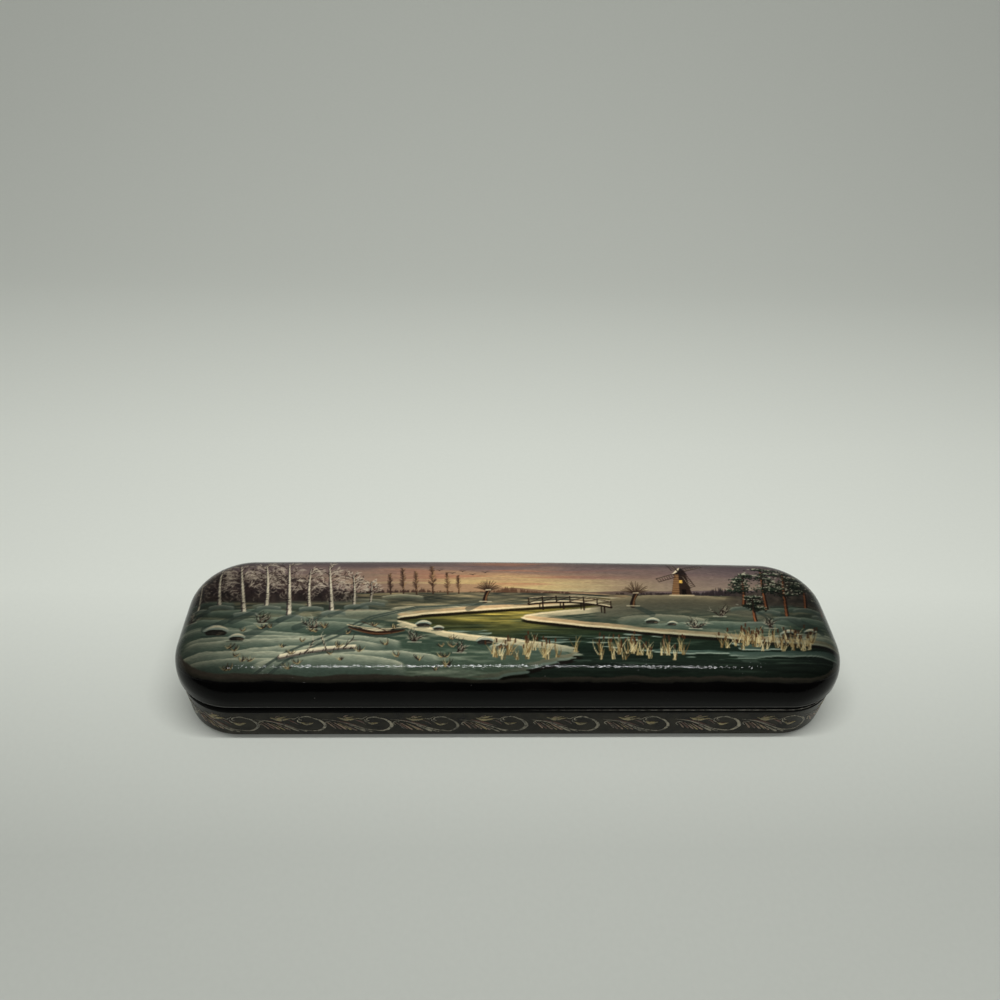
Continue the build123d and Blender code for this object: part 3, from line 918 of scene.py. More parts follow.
def paint_stream():
    """Dark olive water with a gold glint, lit snow along both banks, a dark undercut below the far one."""
    middle, half = stream(py)
    wobble = 0.12 * half * cloud(px / 30, py / 1.3, 12)
    wobble = wobble + 0.9 * cloud(px / 5, py / 0.8, 13) * np.clip(half / 8, 0.1, 1)
    outside = np.abs(px - middle + wobble) - half
    steep = np.gradient(outside, axis=0) / np.gradient(py, axis=0)
    water = rise(BRUSH_EDGE, -BRUSH_EDGE, outside / np.hypot(1, steep)) * (py < 5.0)
    depth = np.clip((5 - py) / 24, 0, 1)
    lit_bank = (0.35 + 0.65 * warmth(px, 46)) * rise(1.0, 0.55, depth)
    broad = blends(lit_bank, (96, 108, 98), (228, 206, 164))
    for rows, seed, fade in ((-9, 30, (1, 1, 1)), (8, 31, (1, 0.9, 0.84))):
        bank = rise(0.0, 1.0, moved(water, rows) * (0.9 + 0.6 * cloud(px / 6, py / 1.2, seed)))
        wash((1 - water) * bank * 0.8, broad * fade)
    deep = blends(depth, *WATER)
    gold = warmth(px, 22) * rise(0.72, 0.1, depth)
    ripple = cloud(px / 9, py / 0.45, 14)
    shine = np.clip(gold * (0.7 + 0.6 * ripple), 0, 1)[..., None]
    wash(water, (deep + (tint(206, 178, 88) - deep) * shine) * (1 + 0.25 * ripple)[..., None])
    glimmer = rise(0.3, 0.75, cloud(px / 14, py / 0.6, 15)) * rise(0.15, 0.5, depth) * 0.4
    wash(water * glimmer, tint(96, 112, 96))
    ice = rise(0.32, 0.4, cloud(px / 16, py / 1.5, 32)) * rise(0.35, 0.6, depth) * rise(0.98, 0.8, depth)
    wash(water * ice * 0.55, tint(88, 106, 98))
    wash(water * ice * (1 - moved(ice, 2)) * 0.8, tint(150, 160, 144))
    wash(water * (1 - moved(water, -5)) * 0.85 * rise(0.02, 0.2, depth), tint(26, 22, 18))
    for rows in (3, -3):
        wash((1 - water) * moved(water, rows) * 0.9, broad * 1.06)


def paint_track():
    """A sleigh track from the front to the footbridge: two soft ruts, each with a lit edge."""
    turns = np.array([(-70.0, -22.5), (-60, -15), (-46, -8), (-38, -3), (-26, 0.6), (-10, 1.7), (5, 1.9)])
    spacing = np.array([2.6, 2.2, 1.6, 1.1, 0.7, 0.45, 0.35])
    for side in (-0.5, 0.5):
        rut = turns + np.stack([spacing * side, -spacing * side * 0.4], -1)
        mark(rut + (0.25, 0.14), (0.5, 0.36, 0.16), tint(168, 168, 148), 0.55)
        mark(rut, (0.8, 0.5, 0.2), tint(50, 60, 55), 0.75)


def on_mill(*places):
    """Places measured from the middle of the mill's foot, on the canvas."""
    return MILL_FOOT + MILL_SCALE * np.array(places)


def paint_mill():
    """A boarded windmill on a rise, lit from the glow's side, with four latticed sails."""
    mound(MILL_FOOT[0], 2.0, 50, 4.0, tint(176, 158, 124), tint(82, 82, 71), 90)
    area(on_mill((-2.1, 0), (2.1, 0), (1.15, 6.4), (-1.15, 6.4)), tint(52, 40, 34))
    area(on_mill((-2.1, 0), (-0.5, 0), (-0.3, 6.4), (-1.15, 6.4)), tint(134, 100, 70))
    for level in np.linspace(0.7, 6.0, 9):
        half = 2.1 - 0.148 * level
        mark(on_mill((-half, level), (half, level)), (0.18, 0.18), tint(38, 29, 26), 0.6)
    area(on_mill((-1.5, 6.3), (1.5, 6.3), (0.25, 8.6), (-0.25, 8.6)), tint(42, 34, 33))
    mark(bow(*on_mill((-1.5, 6.4), (-0.1, 8.6)), -0.06), (0.4, 0.7, 0.3), tint(230, 212, 180))
    area(on_mill((0.05, 0), (0.95, 0), (0.95, 1.7), (0.05, 1.7)), tint(26, 20, 18))
    area(on_mill((-0.35, 3.6), (0.35, 3.6), (0.3, 4.5), (-0.3, 4.5)), tint(232, 184, 92))
    mark(on_mill((-2.4, -0.1), (2.4, -0.1)), (0.5, 0.5), tint(222, 200, 160), 0.9)
    hub = on_mill(-0.2, 6.9)
    for quarter in range(4):
        aim = math.radians(24 + 90 * quarter)
        way = MILL_SCALE * np.array([math.cos(aim), math.sin(aim)])
        side = np.array([-way[1], way[0]])
        mark([hub, hub + 5.2 * way], (0.42, 0.3), tint(40, 30, 28))
        hem = np.array([hub + 1.3 * way, hub + 5.1 * way]) + 1.05 * side
        mark(hem, (0.22, 0.22), tint(52, 40, 36))
        for step in np.linspace(1.3, 5.1, 8):
            mark([hub + step * way, hub + step * way + 1.05 * side], (0.2, 0.2), tint(56, 43, 38), 0.9)
        snow = np.array([hub + 1.4 * way, hub + 5.0 * way]) + 0.1 * side
        mark(snow, (0.14, 0.14), tint(220, 200, 166), 0.8)


def branch(start, aim, long, wide, shade, frost, level, draw):
    """A bent bough, and smaller ones out of it, down to twigs; about half of them are frosted."""
    line = bow(start, tip_of(start, aim, long), draw.uniform(-0.12, 0.12), 5)
    mark(line, (wide, wide * 0.55), shade, 0.9)
    for share in np.linspace(0.35, 1.0, 3 + level) if level else ():
        turned = aim * 1.12 + draw.choice((-1, 1)) * draw.uniform(0.35, 0.8)
        tone = frost if draw.random() < 0.5 else shade
        length = long * draw.uniform(0.38, 0.6)
        branch(line[int(share * 4)], turned, length, max(0.18, wide * 0.5), tone, frost, level - 1, draw)


def long_shadow(x, y, tall, wide):
    """The shadow that a trunk throws over the snow, away from the glow and towards the front."""
    away = np.sign(x - GLOW_X)
    line = bow((x, y), (x + away * 0.55 * tall, y - 0.34 * tall), 0.03)
    mark(line, (wide, wide * 1.6), tint(48, 58, 54), 0.5)


def birch(x, y, tall, draw):
    """A birch: a white trunk with a cold side and dark flecks, rising boughs and fine frosted twigs."""
    trunk = bow((x, y), (x + draw.uniform(-0.05, 0.05) * tall, y + tall), draw.uniform(-0.03, 0.03), 8)
    for share in np.linspace(0.34, 0.97, 11):
        aim = draw.choice((-1, 1)) * draw.uniform(0.45, 1.15)
        long = tall * (0.36 - 0.22 * share) * draw.uniform(0.8, 1.15)
        branch(along_line(trunk, share), aim, long, 0.34, tint(52, 40, 38), tint(190, 176, 156), 2, draw)
    wide = 0.062 * tall
    mark(trunk, (wide * 1.15, wide * 0.7, 0.25), tint(72, 64, 64))
    mark(trunk + (0.16 * wide, 0), (wide * 0.75, wide * 0.45, 0.15), tint(214, 202, 176))
    for share in draw.uniform(0.04, 0.9, 14):
        spot = along_line(trunk, share)
        reach = wide * (0.55 - 0.35 * share)
        fleck = [spot - (reach * 0.9, 0), spot + (reach * draw.uniform(-0.2, 0.6), 0.05)]
        mark(fleck, (0.3, 0.14), tint(40, 33, 33), 0.9)


def paint_birch_grove(draw):
    """A dark thicket at the left end, and nine birches in front of it."""
    leaves = 1.6 * cloud(px / 5, py / 5, 16) + 1.1 * cloud(px / 1.6, py / 1.6, 17)
    edge = 4.5 + 9.5 * rise(-36, -66, px) + leaves
    foot = rise(2.0, 3.4, py - 0.6 * cloud(px / 9, 0 * py, 18))
    mass = rise(0.8, -0.8, py - edge) * rise(-36, -52, px) * foot
    mottle = 0.5 + 0.5 * cloud(px / 2.5, py / 2.5, 19)
    wash(mass * 0.9, blends(mottle, (36, 31, 32), (58, 48, 47), (84, 70, 64)))
    for _ in range(520):
        x = draw.uniform(-90, -42)
        y = draw.uniform(2.6, 5 + 11 * rise(-40, -64, x))
        aim = draw.uniform(-0.9, 0.9)
        long = draw.uniform(0.9, 2.6)
        tone = tint(162, 148, 132) if draw.random() < 0.5 else tint(40, 32, 32)
        mark(bow((x, y), tip_of((x, y), aim, long), 0.12), (0.26, 0.14), tone, 0.6)
    for x, y, tall in BIRCHES:
        long_shadow(x, y, tall, 0.07 * tall)
        birch(x, y, tall, draw)
        mound(x + 0.5, y - 0.7, 7, 0.8, tint(158, 158, 140), tint(66, 78, 72), 100 - x)


def poplar(x, y, tall, draw):
    """A bare poplar: many twigs that rise steeply round a thin trunk, lit on the glow's side."""
    shade = blends(warmth(x, 34), (50, 42, 42), (78, 56, 44))
    mark([(x, y), (x, y + tall)], (0.4, 0.18), shade)
    for share in np.linspace(0.12, 0.92, int(5 * tall)):
        way = draw.choice((-1, 1))
        start = np.array([x, y + share * tall])
        long = tall * (0.24 - 0.14 * share) * draw.uniform(0.8, 1.2)
        tip = start + (way * long * 0.42, long)
        tone = tint(150, 118, 86) if way > 0 and draw.random() < 0.5 else shade
        mark(bow(start, tip, 0.12 * way), (0.26, 0.14), tone, 0.85)


def willow(x, y, tall, draw):
    """A pollard willow: a thick leaning trunk with snow in its fork and a fan of straight young shoots."""
    head = np.array([x + 0.12 * tall, y + 0.46 * tall])
    long_shadow(x, y, tall, 0.12 * tall)
    for aim in np.linspace(-1.25, 1.25, 23) + draw.uniform(-0.06, 0.06, 23):
        long = tall * draw.uniform(0.42, 0.62) * (1 - 0.18 * abs(aim))
        tip = tip_of(head, aim, long)
        mark(bow(head, tip, 0.05 * aim), (0.3, 0.16), tint(50, 37, 31), 0.9)
        mark(bow(head + (0.12, 0.1), tip, 0.05 * aim), (0.12, 0.12), tint(196, 168, 128), 0.45)
    mark(bow((x, y), head, 0.06), (0.17 * tall, 0.11 * tall, 0.15 * tall), tint(44, 34, 30))
    lit_bark = bow((x + 0.03 * tall, y), head + (0.03 * tall, 0), 0.06)
    mark(lit_bark, (0.05 * tall, 0.03 * tall), tint(148, 106, 72), 0.8)
    fork = [head - (0.07 * tall, -0.06 * tall), head + (0.07 * tall, 0.07 * tall)]
    mark(fork, (0.35, 0.4), tint(226, 206, 170), 0.9)
    drift = [(x - 0.16 * tall, y - 0.05), (x + 0.2 * tall, y - 0.1)]
    mark(drift, (0.4, 0.5, 0.3), tint(206, 192, 158), 0.9)


def pine(x, y, tall, draw):
    """A pine: a bare red-brown trunk, and flat cushions of needles with snow on top."""
    trunk = bow((x, y), (x + draw.uniform(-0.6, 0.6), y + tall), draw.uniform(-0.04, 0.04), 8)
    mark(trunk, (1.1, 0.8, 0.4), tint(44, 32, 28))
    mark(trunk - (0.18, 0), (0.55, 0.42, 0.2), tint(150, 94, 62), 0.9)
    for share in np.linspace(0.46, 1.02, 9):
        centre = along_line(trunk, share)
        reach = tall * (0.32 - 0.17 * share) * draw.uniform(0.8, 1.2)
        pad = centre + (draw.choice((-1, 1)) * reach * draw.uniform(0.2, 0.9), draw.uniform(-0.2, 0.4))
        mark(bow(centre - (0, 0.8), pad, 0.1), (0.4, 0.22), tint(48, 36, 30))
        for _ in range(56):
            spot = pad + (draw.normal(0, 0.5) * reach, draw.normal(0, 0.16) * reach)
            high = (spot[1] - pad[1]) / (0.2 * reach)
            tone = tint(22, 26, 22) if high < -0.4 else tint(40, 51, 40)
            if high > 0.45 and draw.random() < 0.75:
                tone = tint(176, 174, 150)
            aim = draw.uniform(-1.2, 1.2)
            long = draw.uniform(0.5, 0.95)
            mark([spot, tip_of(spot, aim, long, 0.7)], (0.32, 0.14), tone, 0.9)


def paint_pines(draw):
    """A dark wood at the right end, and six pines in front of it."""
    leaves = 1.3 * cloud(px / 4, py / 4, 101) + 0.9 * cloud(px / 1.5, py / 1.5, 102)
    edge = 4 + 7 * rise(50, 80, px) + leaves
    foot = rise(1.6, 2.8, py - 0.6 * cloud(px / 9, 0 * py, 103))
    mass = rise(0.7, -0.7, py - edge) * rise(54, 66, px) * foot
    mottle = 0.5 + 0.5 * cloud(px / 2, py / 2, 104)
    wash(mass * 0.85, blends(mottle, (44, 40, 37), (70, 62, 56), (104, 92, 82)))
    for x, y, tall in PINES:
        long_shadow(x, y, tall, 0.06 * tall)
        pine(x, y, tall, draw)
        mound(x, y - 0.8, 8, 0.8, tint(150, 152, 134), tint(56, 68, 62), 200 + x)


def paint_bridge():
    """A plank footbridge with crossed rails, bowed over the stream, snow on deck and rail."""
    deck = bow((4.5, 1.9), (27.0, 0.9), 0.06, 13)
    rail = deck + (0, 2.1)
    wood = tint(44, 33, 28)
    for step in (2, 5, 8, 11):
        mark([deck[step], deck[step] - (0, 2.6)], (0.5, 0.42), wood)
        mark([deck[step] - (0.8, 0), deck[step] - (0.85, 2.4)], (0.36, 0.3), wood * 0.8)
    mark(deck, (0.9, 0.9), wood)
    mark(deck + (0, 0.4), (0.4, 0.5, 0.4), tint(236, 216, 176))
    mark(rail, (0.34, 0.34), wood)
    mark(rail + (0, 0.2), (0.2, 0.2), tint(230, 208, 170), 0.95)
    for step in range(0, 13, 2):
        mark([deck[step], rail[step] + (0, 0.15)], (0.38, 0.3), wood)
        if step < 12:
            mark([deck[step] + (0, 0.3), rail[step + 2]], (0.22, 0.22), wood * 1.1, 0.9)


def boulder(x, y, wide, tall, draw):
    """A dark stone with a thick cap of snow, its shadow side towards the front."""
    shadow = [(x - 0.6 * wide, y - 0.15 * tall), (x + 0.35 * wide, y - 0.1 * tall)]
    mark(shadow, (0.3, 0.5 * tall, 0.3), tint(44, 53, 49), 0.6)
    stone = [(x - 0.3 * wide, y + 0.3 * tall), (x + 0.3 * wide, y + 0.32 * tall)]
    mark(stone, (0.62 * tall, 0.66 * tall), tint(40, 38, 34))
    for _ in range(9):
        spot = np.array([x + draw.uniform(-0.34, 0.4) * wide, y + draw.uniform(0.06, 0.36) * tall])
        tone = tint(92, 82, 68) if spot[0] > x else tint(58, 56, 50)
        mark([spot, spot + (0.16 * wide, 0.08)], (0.3, 0.16), tone, 0.7)
    cap = bow((x - 0.46 * wide, y + 0.5 * tall), (x + 0.48 * wide, y + 0.52 * tall), 0.2)
    mark(cap, (0.25 * tall, 0.55 * tall, 0.25 * tall), tint(140, 148, 134))
    mark(cap + (0.06 * wide, 0.1 * tall), (0.1, 0.3 * tall, 0.15), tint(210, 198, 166), 0.9)


def paint_shore(draw):
    """Stones in the snow and along the near bank, a boat drawn up beside them, and a fallen birch."""
    for stone in BOULDERS:
        boulder(*stone, draw)
    hull = bow((-44.5, -6.0), (-29.5, -7.0), -0.1, 9)
    mark(hull - (0, 1.5), (0.4, 1.3, 0.4), tint(42, 51, 47), 0.6)
    mark(hull - (0, 0.35), (0.35, 1.9, 0.35), tint(48, 34, 28))
    mark(hull - (0, 0.75), (0.2, 0.4, 0.2), tint(116, 82, 58), 0.8)
    mark(hull + (0, 0.5), (0.25, 0.7, 0.25), tint(30, 24, 22))
    mark(hull[2:7] + (0, 0.42), (0.2, 0.75, 0.2), tint(206, 192, 158), 0.95)
    mark(bow((-44.9, -5.6), (-29.0, -6.5), -0.06, 9), (0.24, 0.24), tint(222, 204, 166), 0.9)
    mark([(-41, -4.6), (-33, -8.6)], (0.26, 0.3), tint(66, 48, 38), 0.95)
    log = bow((-63, -16.2), (-43, -13.2), 0.03, 9)
    mark(log - (0.4, 0.8), (1.6, 1.2), tint(44, 53, 49), 0.6)
    mark(log, (1.5, 1.0), tint(96, 88, 80))
    mark(log + (0, 0.2), (0.7, 0.5), tint(186, 174, 150))
    mark(log + (0.1, 0.62), (0.6, 0.5), tint(220, 208, 176), 0.95)
    for share in draw.uniform(0.02, 0.98, 18):
        spot = along_line(log, share)
        fleck = [spot - (0.25, 0.5), spot + (0.05, draw.uniform(-0.1, 0.35))]
        mark(fleck, (0.3, 0.16), tint(42, 36, 34), 0.9)
    for share, aim in ((0.35, 0.5), (0.62, -0.3), (0.85, 0.7)):
        branch(along_line(log, share), aim, 4.2, 0.42, tint(48, 38, 34), tint(190, 178, 152), 1, draw)


def paint_plants(draw):
    """Bushes and tufts of dry grass in the snow, reeds along the water, and a few far birds."""
    dry = (tint(36, 29, 26), tint(56, 44, 36), tint(176, 158, 116))
    reed = (tint(168, 148, 104), tint(206, 190, 148), tint(104, 82, 52))
    for x, y in BUSHES:
        for _ in range(9):
            aim = draw.uniform(-1.0, 1.0)
            foot = np.array([x + draw.uniform(-0.8, 0.8), y])
            branch(foot, aim, draw.uniform(2.0, 3.6), 0.32, tint(40, 31, 28), tint(186, 176, 152), 1, draw)
        mark([(x - 1.8, y), (x + 1.8, y - 0.1)], (0.3, 0.7, 0.3), tint(176, 174, 152), 0.8)
    for x in draw.uniform(-78, -6, 40):
        y = draw.uniform(-20, -5)
        if abs(x - stream(y)[0]) < stream(y)[1] + 1:
            continue
        size = draw.uniform(1.6, 3.0)
        for blade in range(9):
            aim = draw.uniform(-0.9, 0.9)
            long = size * draw.uniform(0.55, 1.0)
            tip = tip_of((x, y), aim, long, 0.8)
            line = bow((x + draw.uniform(-0.3, 0.3), y), tip, -0.12 * np.sign(aim))
            mark(line, (0.28, 0.2, 0.12), dry[blade % 3], 0.85)
    for x in np.concatenate([draw.normal(70, 7, 34), draw.normal(34, 6, 26), draw.normal(2, 5, 20)]):
        y = -15.5 + draw.uniform(-1.8, 1.5) + (3.5 if x > 52 else 0)
        for _ in range(5):
            aim = draw.normal(0.06, 0.24)
            long = draw.uniform(2.6, 5.8)
            tip = tip_of((x, y), aim, long)
            line = bow((x + draw.uniform(-0.5, 0.5), y), tip, draw.uniform(-0.1, 0.1))
            mark(line, (0.28, 0.2, 0.12), reed[draw.integers(3)], 0.85)
            if draw.random() < 0.25:
                mark([tip - (0, 0.1), tip + (0.05, 0.9)], (0.44, 0.38), tint(72, 48, 34))
    for x, y in BIRDS:
        mark(bow((x - 0.9, y + 0.35), (x, y), 0.14), (0.14, 0.24), tint(44, 36, 38), 0.9)
        mark(bow((x, y), (x + 0.9, y + 0.4), 0.14), (0.24, 0.14), tint(44, 36, 38), 0.9)


def paint_brushwork(draw):
    """Short dabs all over, each a little lighter or darker than the paint it lies on."""
    for _ in range(BRUSH_DABS):
        column = draw.integers(8, len(column_x) - 8)
        row = draw.integers(8, PICTURE_ROWS - 8)
        spot = np.array([px[row, column], py[row, column]])
        aim = 0.5 * cloud(spot[0] / 12, spot[1] / 3, 40) + draw.normal(0, 0.12)
        long = draw.uniform(0.8, 2.6)
        tone = np.clip(canvas[row, column] * draw.uniform(0.84, 1.2) + draw.normal(0, 0.006, 3), 0, 1)
        line = [spot, spot + (long * math.cos(aim), long * math.sin(aim))]
        mark(line, (0.2, draw.uniform(0.3, 0.6), 0.16), tone, 0.5)


def paint_edge():
    """The picture darkens towards its edge and along the far plain, and its varnish deepens every tone.

    It stops at a wavy dark shore in front and at a ragged edge against the black all round."""
    over_x = np.clip(np.abs(sheet_x) - CORE_X, 0, None) * PICTURE_ACROSS / PICTURE_LONG
    over_y = np.clip(np.abs(py) - CORE_Y, 0, None)
    inside = PICTURE_ACROSS - np.hypot(over_x, over_y)
    dim = (1 - 0.4 * rise(60, 93, np.abs(px))) * (1 - 0.2 * rise(-16, -22, py))
    dim = dim * (1 - 0.2 * rise(16, 22, py))
    dusk = np.exp(-(((py - 3.5) / 3.2) ** 2)) * (1 - warmth(px, 18))
    canvas[...] *= (dim * (1 - 0.2 * dusk))[..., None] * (0.945, 0.955, 0.945)
    canvas[...] = np.clip(0.34 + 1.15 * (canvas - 0.34), 0.02, 1)
    ragged = inside + 0.5 * cloud(px / 9, py / 9, 105) + 0.2 * cloud(px / 2, py / 2, 106)
    shore = ragged + 1.1 * cloud(px / 26, 0 * py, 108)
    wash(rise(2.2, 1.7, shore) * rise(-10, -16, py), tint(42, 38, 31))
    wash(rise(1.6, 0.9, ragged), tint(31, 30, 24))
    wash(rise(0.8, 0.3, ragged), tint(7, 7, 7))
    canvas[...] *= (1 + 0.05 * cloud(px / 1.1, py / 0.45, 107))[..., None]


# Each part of the picture is drawn by a seeded hand of its own, so that the others don't change with it.
hills_hand, drifts_hand, dabs_hand, grove_hand, pines_hand, shore_hand, plants_hand = (
    np.random.default_rng(seed) for seed in (5, 8, 2, 14, 23, 17, 31))
paint_sky()
paint_far_hills(hills_hand)
paint_snow()
paint_drifts(drifts_hand)
paint_brushwork(dabs_hand)
paint_stream()
paint_track()
for standing in POPLARS:
    poplar(*standing, grove_hand)
paint_mill()
paint_birch_grove(grove_hand)
paint_pines(pines_hand)
for standing in WILLOWS:
    willow(*standing, grove_hand)
paint_bridge()
paint_shore(shore_hand)
paint_plants(plants_hand)
paint_edge()
shown = np.clip(canvas, 0, 1)
linear = np.where(shown <= 0.04045, shown / 12.92, ((shown + 0.055) / 1.055) ** 2.4)


def picture_paint(tree, place):
    """The painted colours, each a little uneven along the brush."""
    paint = node(tree, "Attribute", attribute_name="paint").outputs["Color"]
    brush = noise(tree, stretched(tree, place, PICTURE_LINES), 1.0)
    return scaled(tree, paint, spread(tree, brush, 0.3, 0.7, 0.9, 1.1))


picture_lacquer = lacquer("picture_lacquer", picture_paint, PICTURE_GLOSS, PICTURE_PEEL)


def picture_piece(name, rows):
    """A closed film of paint on the lid between two rows of the canvas.

    Its top is the lid's surface lifted by the film's thickness, tucked under the surface along the
    picture's outline; its underside is the same surface on a coarser grid, joined to the top all round."""
    x = sheet_x[rows]
    y = py[rows]
    lift = np.full(x.shape, PICTURE_LIFT)
    lift[:, [0, -1]] = -PICTURE_TUCK
    lift[np.abs(row_share[rows]) == 1] = -PICTURE_TUCK
    top = lid_point(x, y, -lift)
    under_x = x[::UNDER_STEP_ROWS, ::UNDER_STEP_COLUMNS]
    under_y = y[::UNDER_STEP_ROWS, ::UNDER_STEP_COLUMNS]
    under = lid_point(under_x, under_y, PICTURE_UNDER)
    first = top.size // 3
    top_faces = grid_faces(*x.shape)
    under_faces = grid_faces(*under_x.shape, first)[:, ::-1]
    steps_x = np.full(under_x.shape[1] - 1, UNDER_STEP_COLUMNS)
    steps_y = np.full(under_x.shape[0] - 1, UNDER_STEP_ROWS)
    steps = np.concatenate([steps_x, steps_y, steps_x, steps_y])
    rim_faces = joined_rims(border(*under_x.shape, first), border(*x.shape), steps)
    points = np.concatenate([top.reshape(-1, 3), under.reshape(-1, 3)])
    piece = make_piece(name, points, np.concatenate([top_faces, under_faces]), rim_faces)
    piece.data.set_sharp_from_angle(angle=SHARP_ANGLE)
    colours = np.ones((len(points), 4))
    colours[:first, :3] = linear[rows].reshape(-1, 3)
    colours[first:, :3] = linear[rows][::UNDER_STEP_ROWS, ::UNDER_STEP_COLUMNS].reshape(-1, 3)
    paint = piece.data.color_attributes.new("paint", "FLOAT_COLOR", "POINT")
    paint.data.foreach_set("color", colours.ravel())
    across = np.concatenate([x.ravel(), under_x.ravel()]) / (2 * column_x[-1]) + 0.5
    level = np.concatenate([np.repeat(np.linspace(*ends, shape[0]), shape[1])
                            for ends, shape in ((MAP_TOP, x.shape), (MAP_UNDER, under_x.shape))])
    corners = np.zeros(len(piece.data.loops), np.int32)
    piece.data.loops.foreach_get("vertex_index", corners)
    place = np.stack([across[corners], level[corners]], -1)
    rim_start = 4 * (len(top_faces) + len(under_faces))
    place[rim_start:, 1] = np.where(corners[rim_start:] < first, *MAP_RIM)
    piece.data.uv_layers.new(name="OFBake").data.foreach_set("uv", place.ravel())
    piece.data.materials.append(picture_lacquer)
    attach(piece, "lid")


picture_piece("lid_picture_land", slice(0, PICTURE_CUT + 1))
picture_piece("lid_picture_sky", slice(PICTURE_CUT, PICTURE_ROWS + 1))


# Table and light
# The box stands on a sweep of pale grey paper, under one narrow tube lamp above and a little in front of
# it, with a weak even light from the room.
PAPER = (0.515, 0.537, 0.488, 1)
PAPER_SHADE = (0.487, 0.508, 0.462, 1)
PAPER_GRAIN = 700.0
PAPER_ROUGHNESS = 0.9
PAPER_GLOW = 0.255
GLOW_FADES = (-56.0, 32.0, 110.0, 240.0)
BACK_GLOW = 0.72
FAR_GLOW = 0.36
FAR_FADE = (95.0, 600.0)
FAR_ASIDE = 0.6
FAR_BEHIND = 0.4
PAPER_HALF_WIDTH = 1500.0
PAPER_FRONT = -1500.0
PAPER_BEND_START = 260.0
PAPER_BEND = 240.0
PAPER_TOP = 1000.0
BEND_STEPS = 24
LAMP_SIZE = (345.0, 12.0)
LAMP_PLACE = (10.0, -50.0, 430.0)
LAMP_WATTS = 1.45
ROOM_WAY = (0.0, 0.6, 0.8)
ROOM_FRONT = (0.02, 0.02, 0.02, 1)
ROOM_ABOVE = (0.32, 0.32, 0.32, 1)
ROOM_SEEN = (0.42, 0.437, 0.4, 1)

turn = np.linspace(0, math.pi / 2, BEND_STEPS)
paper_back = PAPER_BEND_START + PAPER_BEND
profile_y = np.concatenate([[PAPER_FRONT], PAPER_BEND_START + PAPER_BEND * np.sin(turn), [paper_back]])
profile_z = np.concatenate([[0.0], PAPER_BEND * (1 - np.cos(turn)), [PAPER_TOP]])
sweep_x = np.array([-PAPER_HALF_WIDTH, PAPER_HALF_WIDTH])
points = np.stack([np.tile(sweep_x, len(profile_y)), np.repeat(profile_y, 2), np.repeat(profile_z, 2)], -1)
paper = make_piece("paper_sweep", points, grid_faces(len(profile_y), 2))
paper_finish, tree, shader, place = new_material("plain_paper")
axes = node(tree, "SeparateXYZ", {0: place}).outputs
rays = node(tree, "LightPath").outputs
# The paper's glow, seen by the camera and in reflections, is painted light: none a little in front of the
# box, full just behind it and dimmer far back, so the paper in front of the box shows a painted soft shade.
front, lit, full, back = (value * MM for value in GLOW_FADES)
glow = spread(tree, axes["Y"], full, back, 1.0, BACK_GLOW)
glow = product(tree, spread(tree, axes["Y"], front, lit), glow)
seen = reckon(tree, "MAXIMUM", rays["Is Camera Ray"], rays["Is Glossy Ray"])
glow = product(tree, product(tree, glow, seen), PAPER_GLOW / PAPER[1])
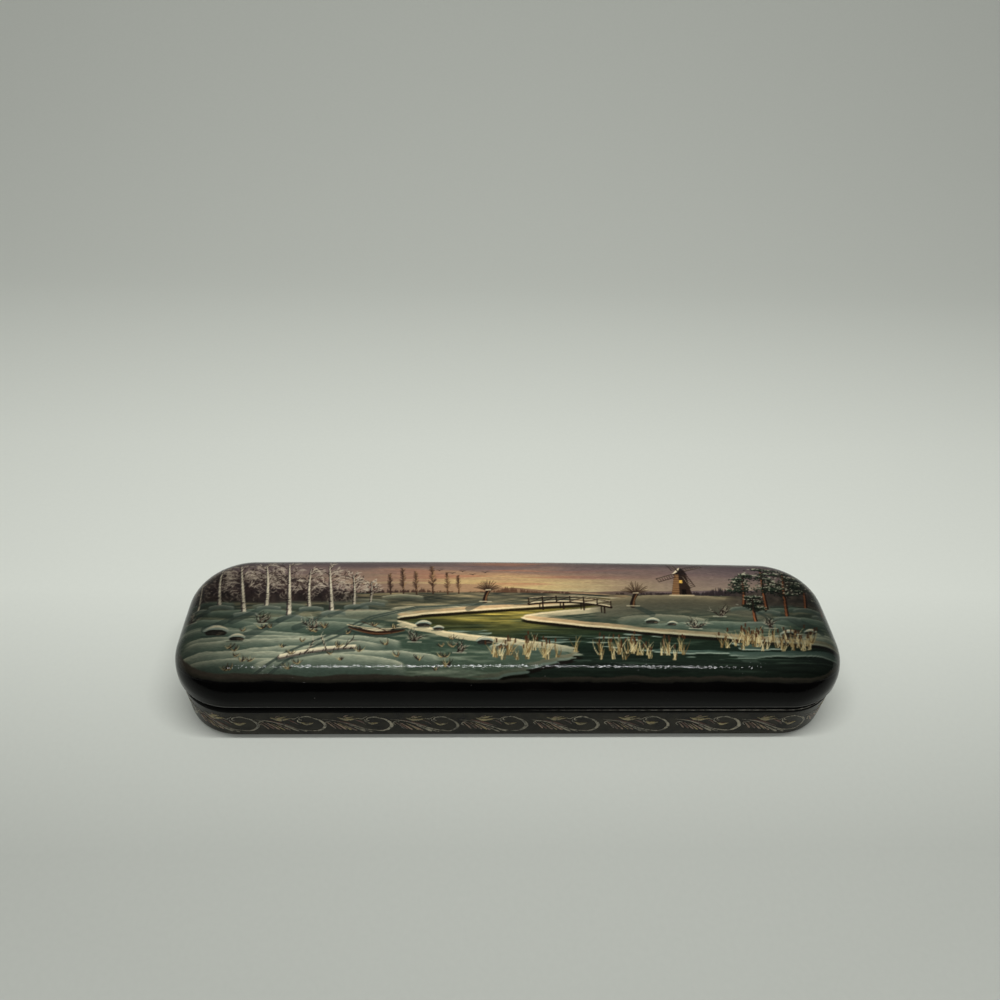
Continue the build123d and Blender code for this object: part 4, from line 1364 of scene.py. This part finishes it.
# The paper far in front and to the sides, where the lamp hardly reaches, stays as pale as the room.
aside = product(tree, reckon(tree, "ABSOLUTE", axes["X"]), FAR_ASIDE)
drawn_in = product(tree, reckon(tree, "MAXIMUM", axes["Y"], 0.0), FAR_BEHIND)
aside = reckon(tree, "MAXIMUM", reckon(tree, "SUBTRACT", aside, drawn_in), 0.0)
ahead = reckon(tree, "MINIMUM", axes["Y"], 0.0)
away = on_vectors(tree, "LENGTH", node(tree, "CombineXYZ", {0: aside, 1: ahead}).outputs[0])
far = spread(tree, away, FAR_FADE[0] * MM, FAR_FADE[1] * MM)
far = product(tree, product(tree, far, rays["Is Camera Ray"]), FAR_GLOW / PAPER[1])
feed(tree, shader, {
    "Base Color": mixed(tree, noise(tree, place, PAPER_GRAIN, 3.0), PAPER_SHADE, PAPER),
    "Emission Color": PAPER,
    "Emission Strength": reckon(tree, "MAXIMUM", glow, far),
})
shader.inputs["Roughness"].default_value = PAPER_ROUGHNESS
paper.data.materials.append(paper_finish)

lamp = bpy.data.lights.new("tube_lamp", "AREA")
lamp.shape = "RECTANGLE"
lamp.size = LAMP_SIZE[0] * MM
lamp.size_y = LAMP_SIZE[1] * MM
lamp.energy = LAMP_WATTS
lamp_object = bpy.data.objects.new("tube_lamp", lamp)
lamp_object.location = [value * MM for value in LAMP_PLACE]
bpy.context.scene.collection.objects.link(lamp_object)

world = bpy.data.worlds.new("room")
world.use_nodes = True
tree = world.node_tree
aim = node(tree, "TexCoord").outputs["Generated"]
upward = on_vectors(tree, "DOT_PRODUCT", aim, ROOM_WAY)
room = mixed(tree, spread(tree, upward, -0.2, 0.7), ROOM_FRONT, ROOM_ABOVE)
shown = mixed(tree, node(tree, "LightPath").outputs["Is Camera Ray"], room, ROOM_SEEN)
tree.links.new(shown, tree.nodes["Background"].inputs["Color"])
bpy.context.scene.world = world
bpy.context.scene.view_settings.view_transform = "Standard"


# Camera
# Held in the hand above the front of the box, a little left of its middle, looking down at it and
# slightly tilted; its place and its turns come from a fit to the outline of the lid and the foot.
CAMERA_PLACE = (-15.03, -169.47, 204.49)
CAMERA_PITCH = 0.6912
CAMERA_YAW = -0.0596
CAMERA_ROLL = 0.0481
CAMERA_LENS = 32.4
CAMERA_SENSOR = 36.0
CAMERA_NEAR = 10.0

camera = bpy.data.cameras.new("camera")
camera.lens = CAMERA_LENS
camera.sensor_width = CAMERA_SENSOR
camera.clip_start = CAMERA_NEAR * MM
camera_object = bpy.data.objects.new("camera", camera)
upright = Matrix.Rotation(CAMERA_YAW, 4, "Z") @ Matrix.Rotation(math.pi / 2 - CAMERA_PITCH, 4, "X")
camera_object.matrix_world = upright @ Matrix.Rotation(CAMERA_ROLL, 4, "Z")
camera_object.location = [value * MM for value in CAMERA_PLACE]
bpy.context.scene.collection.objects.link(camera_object)
bpy.context.scene.camera = camera_object
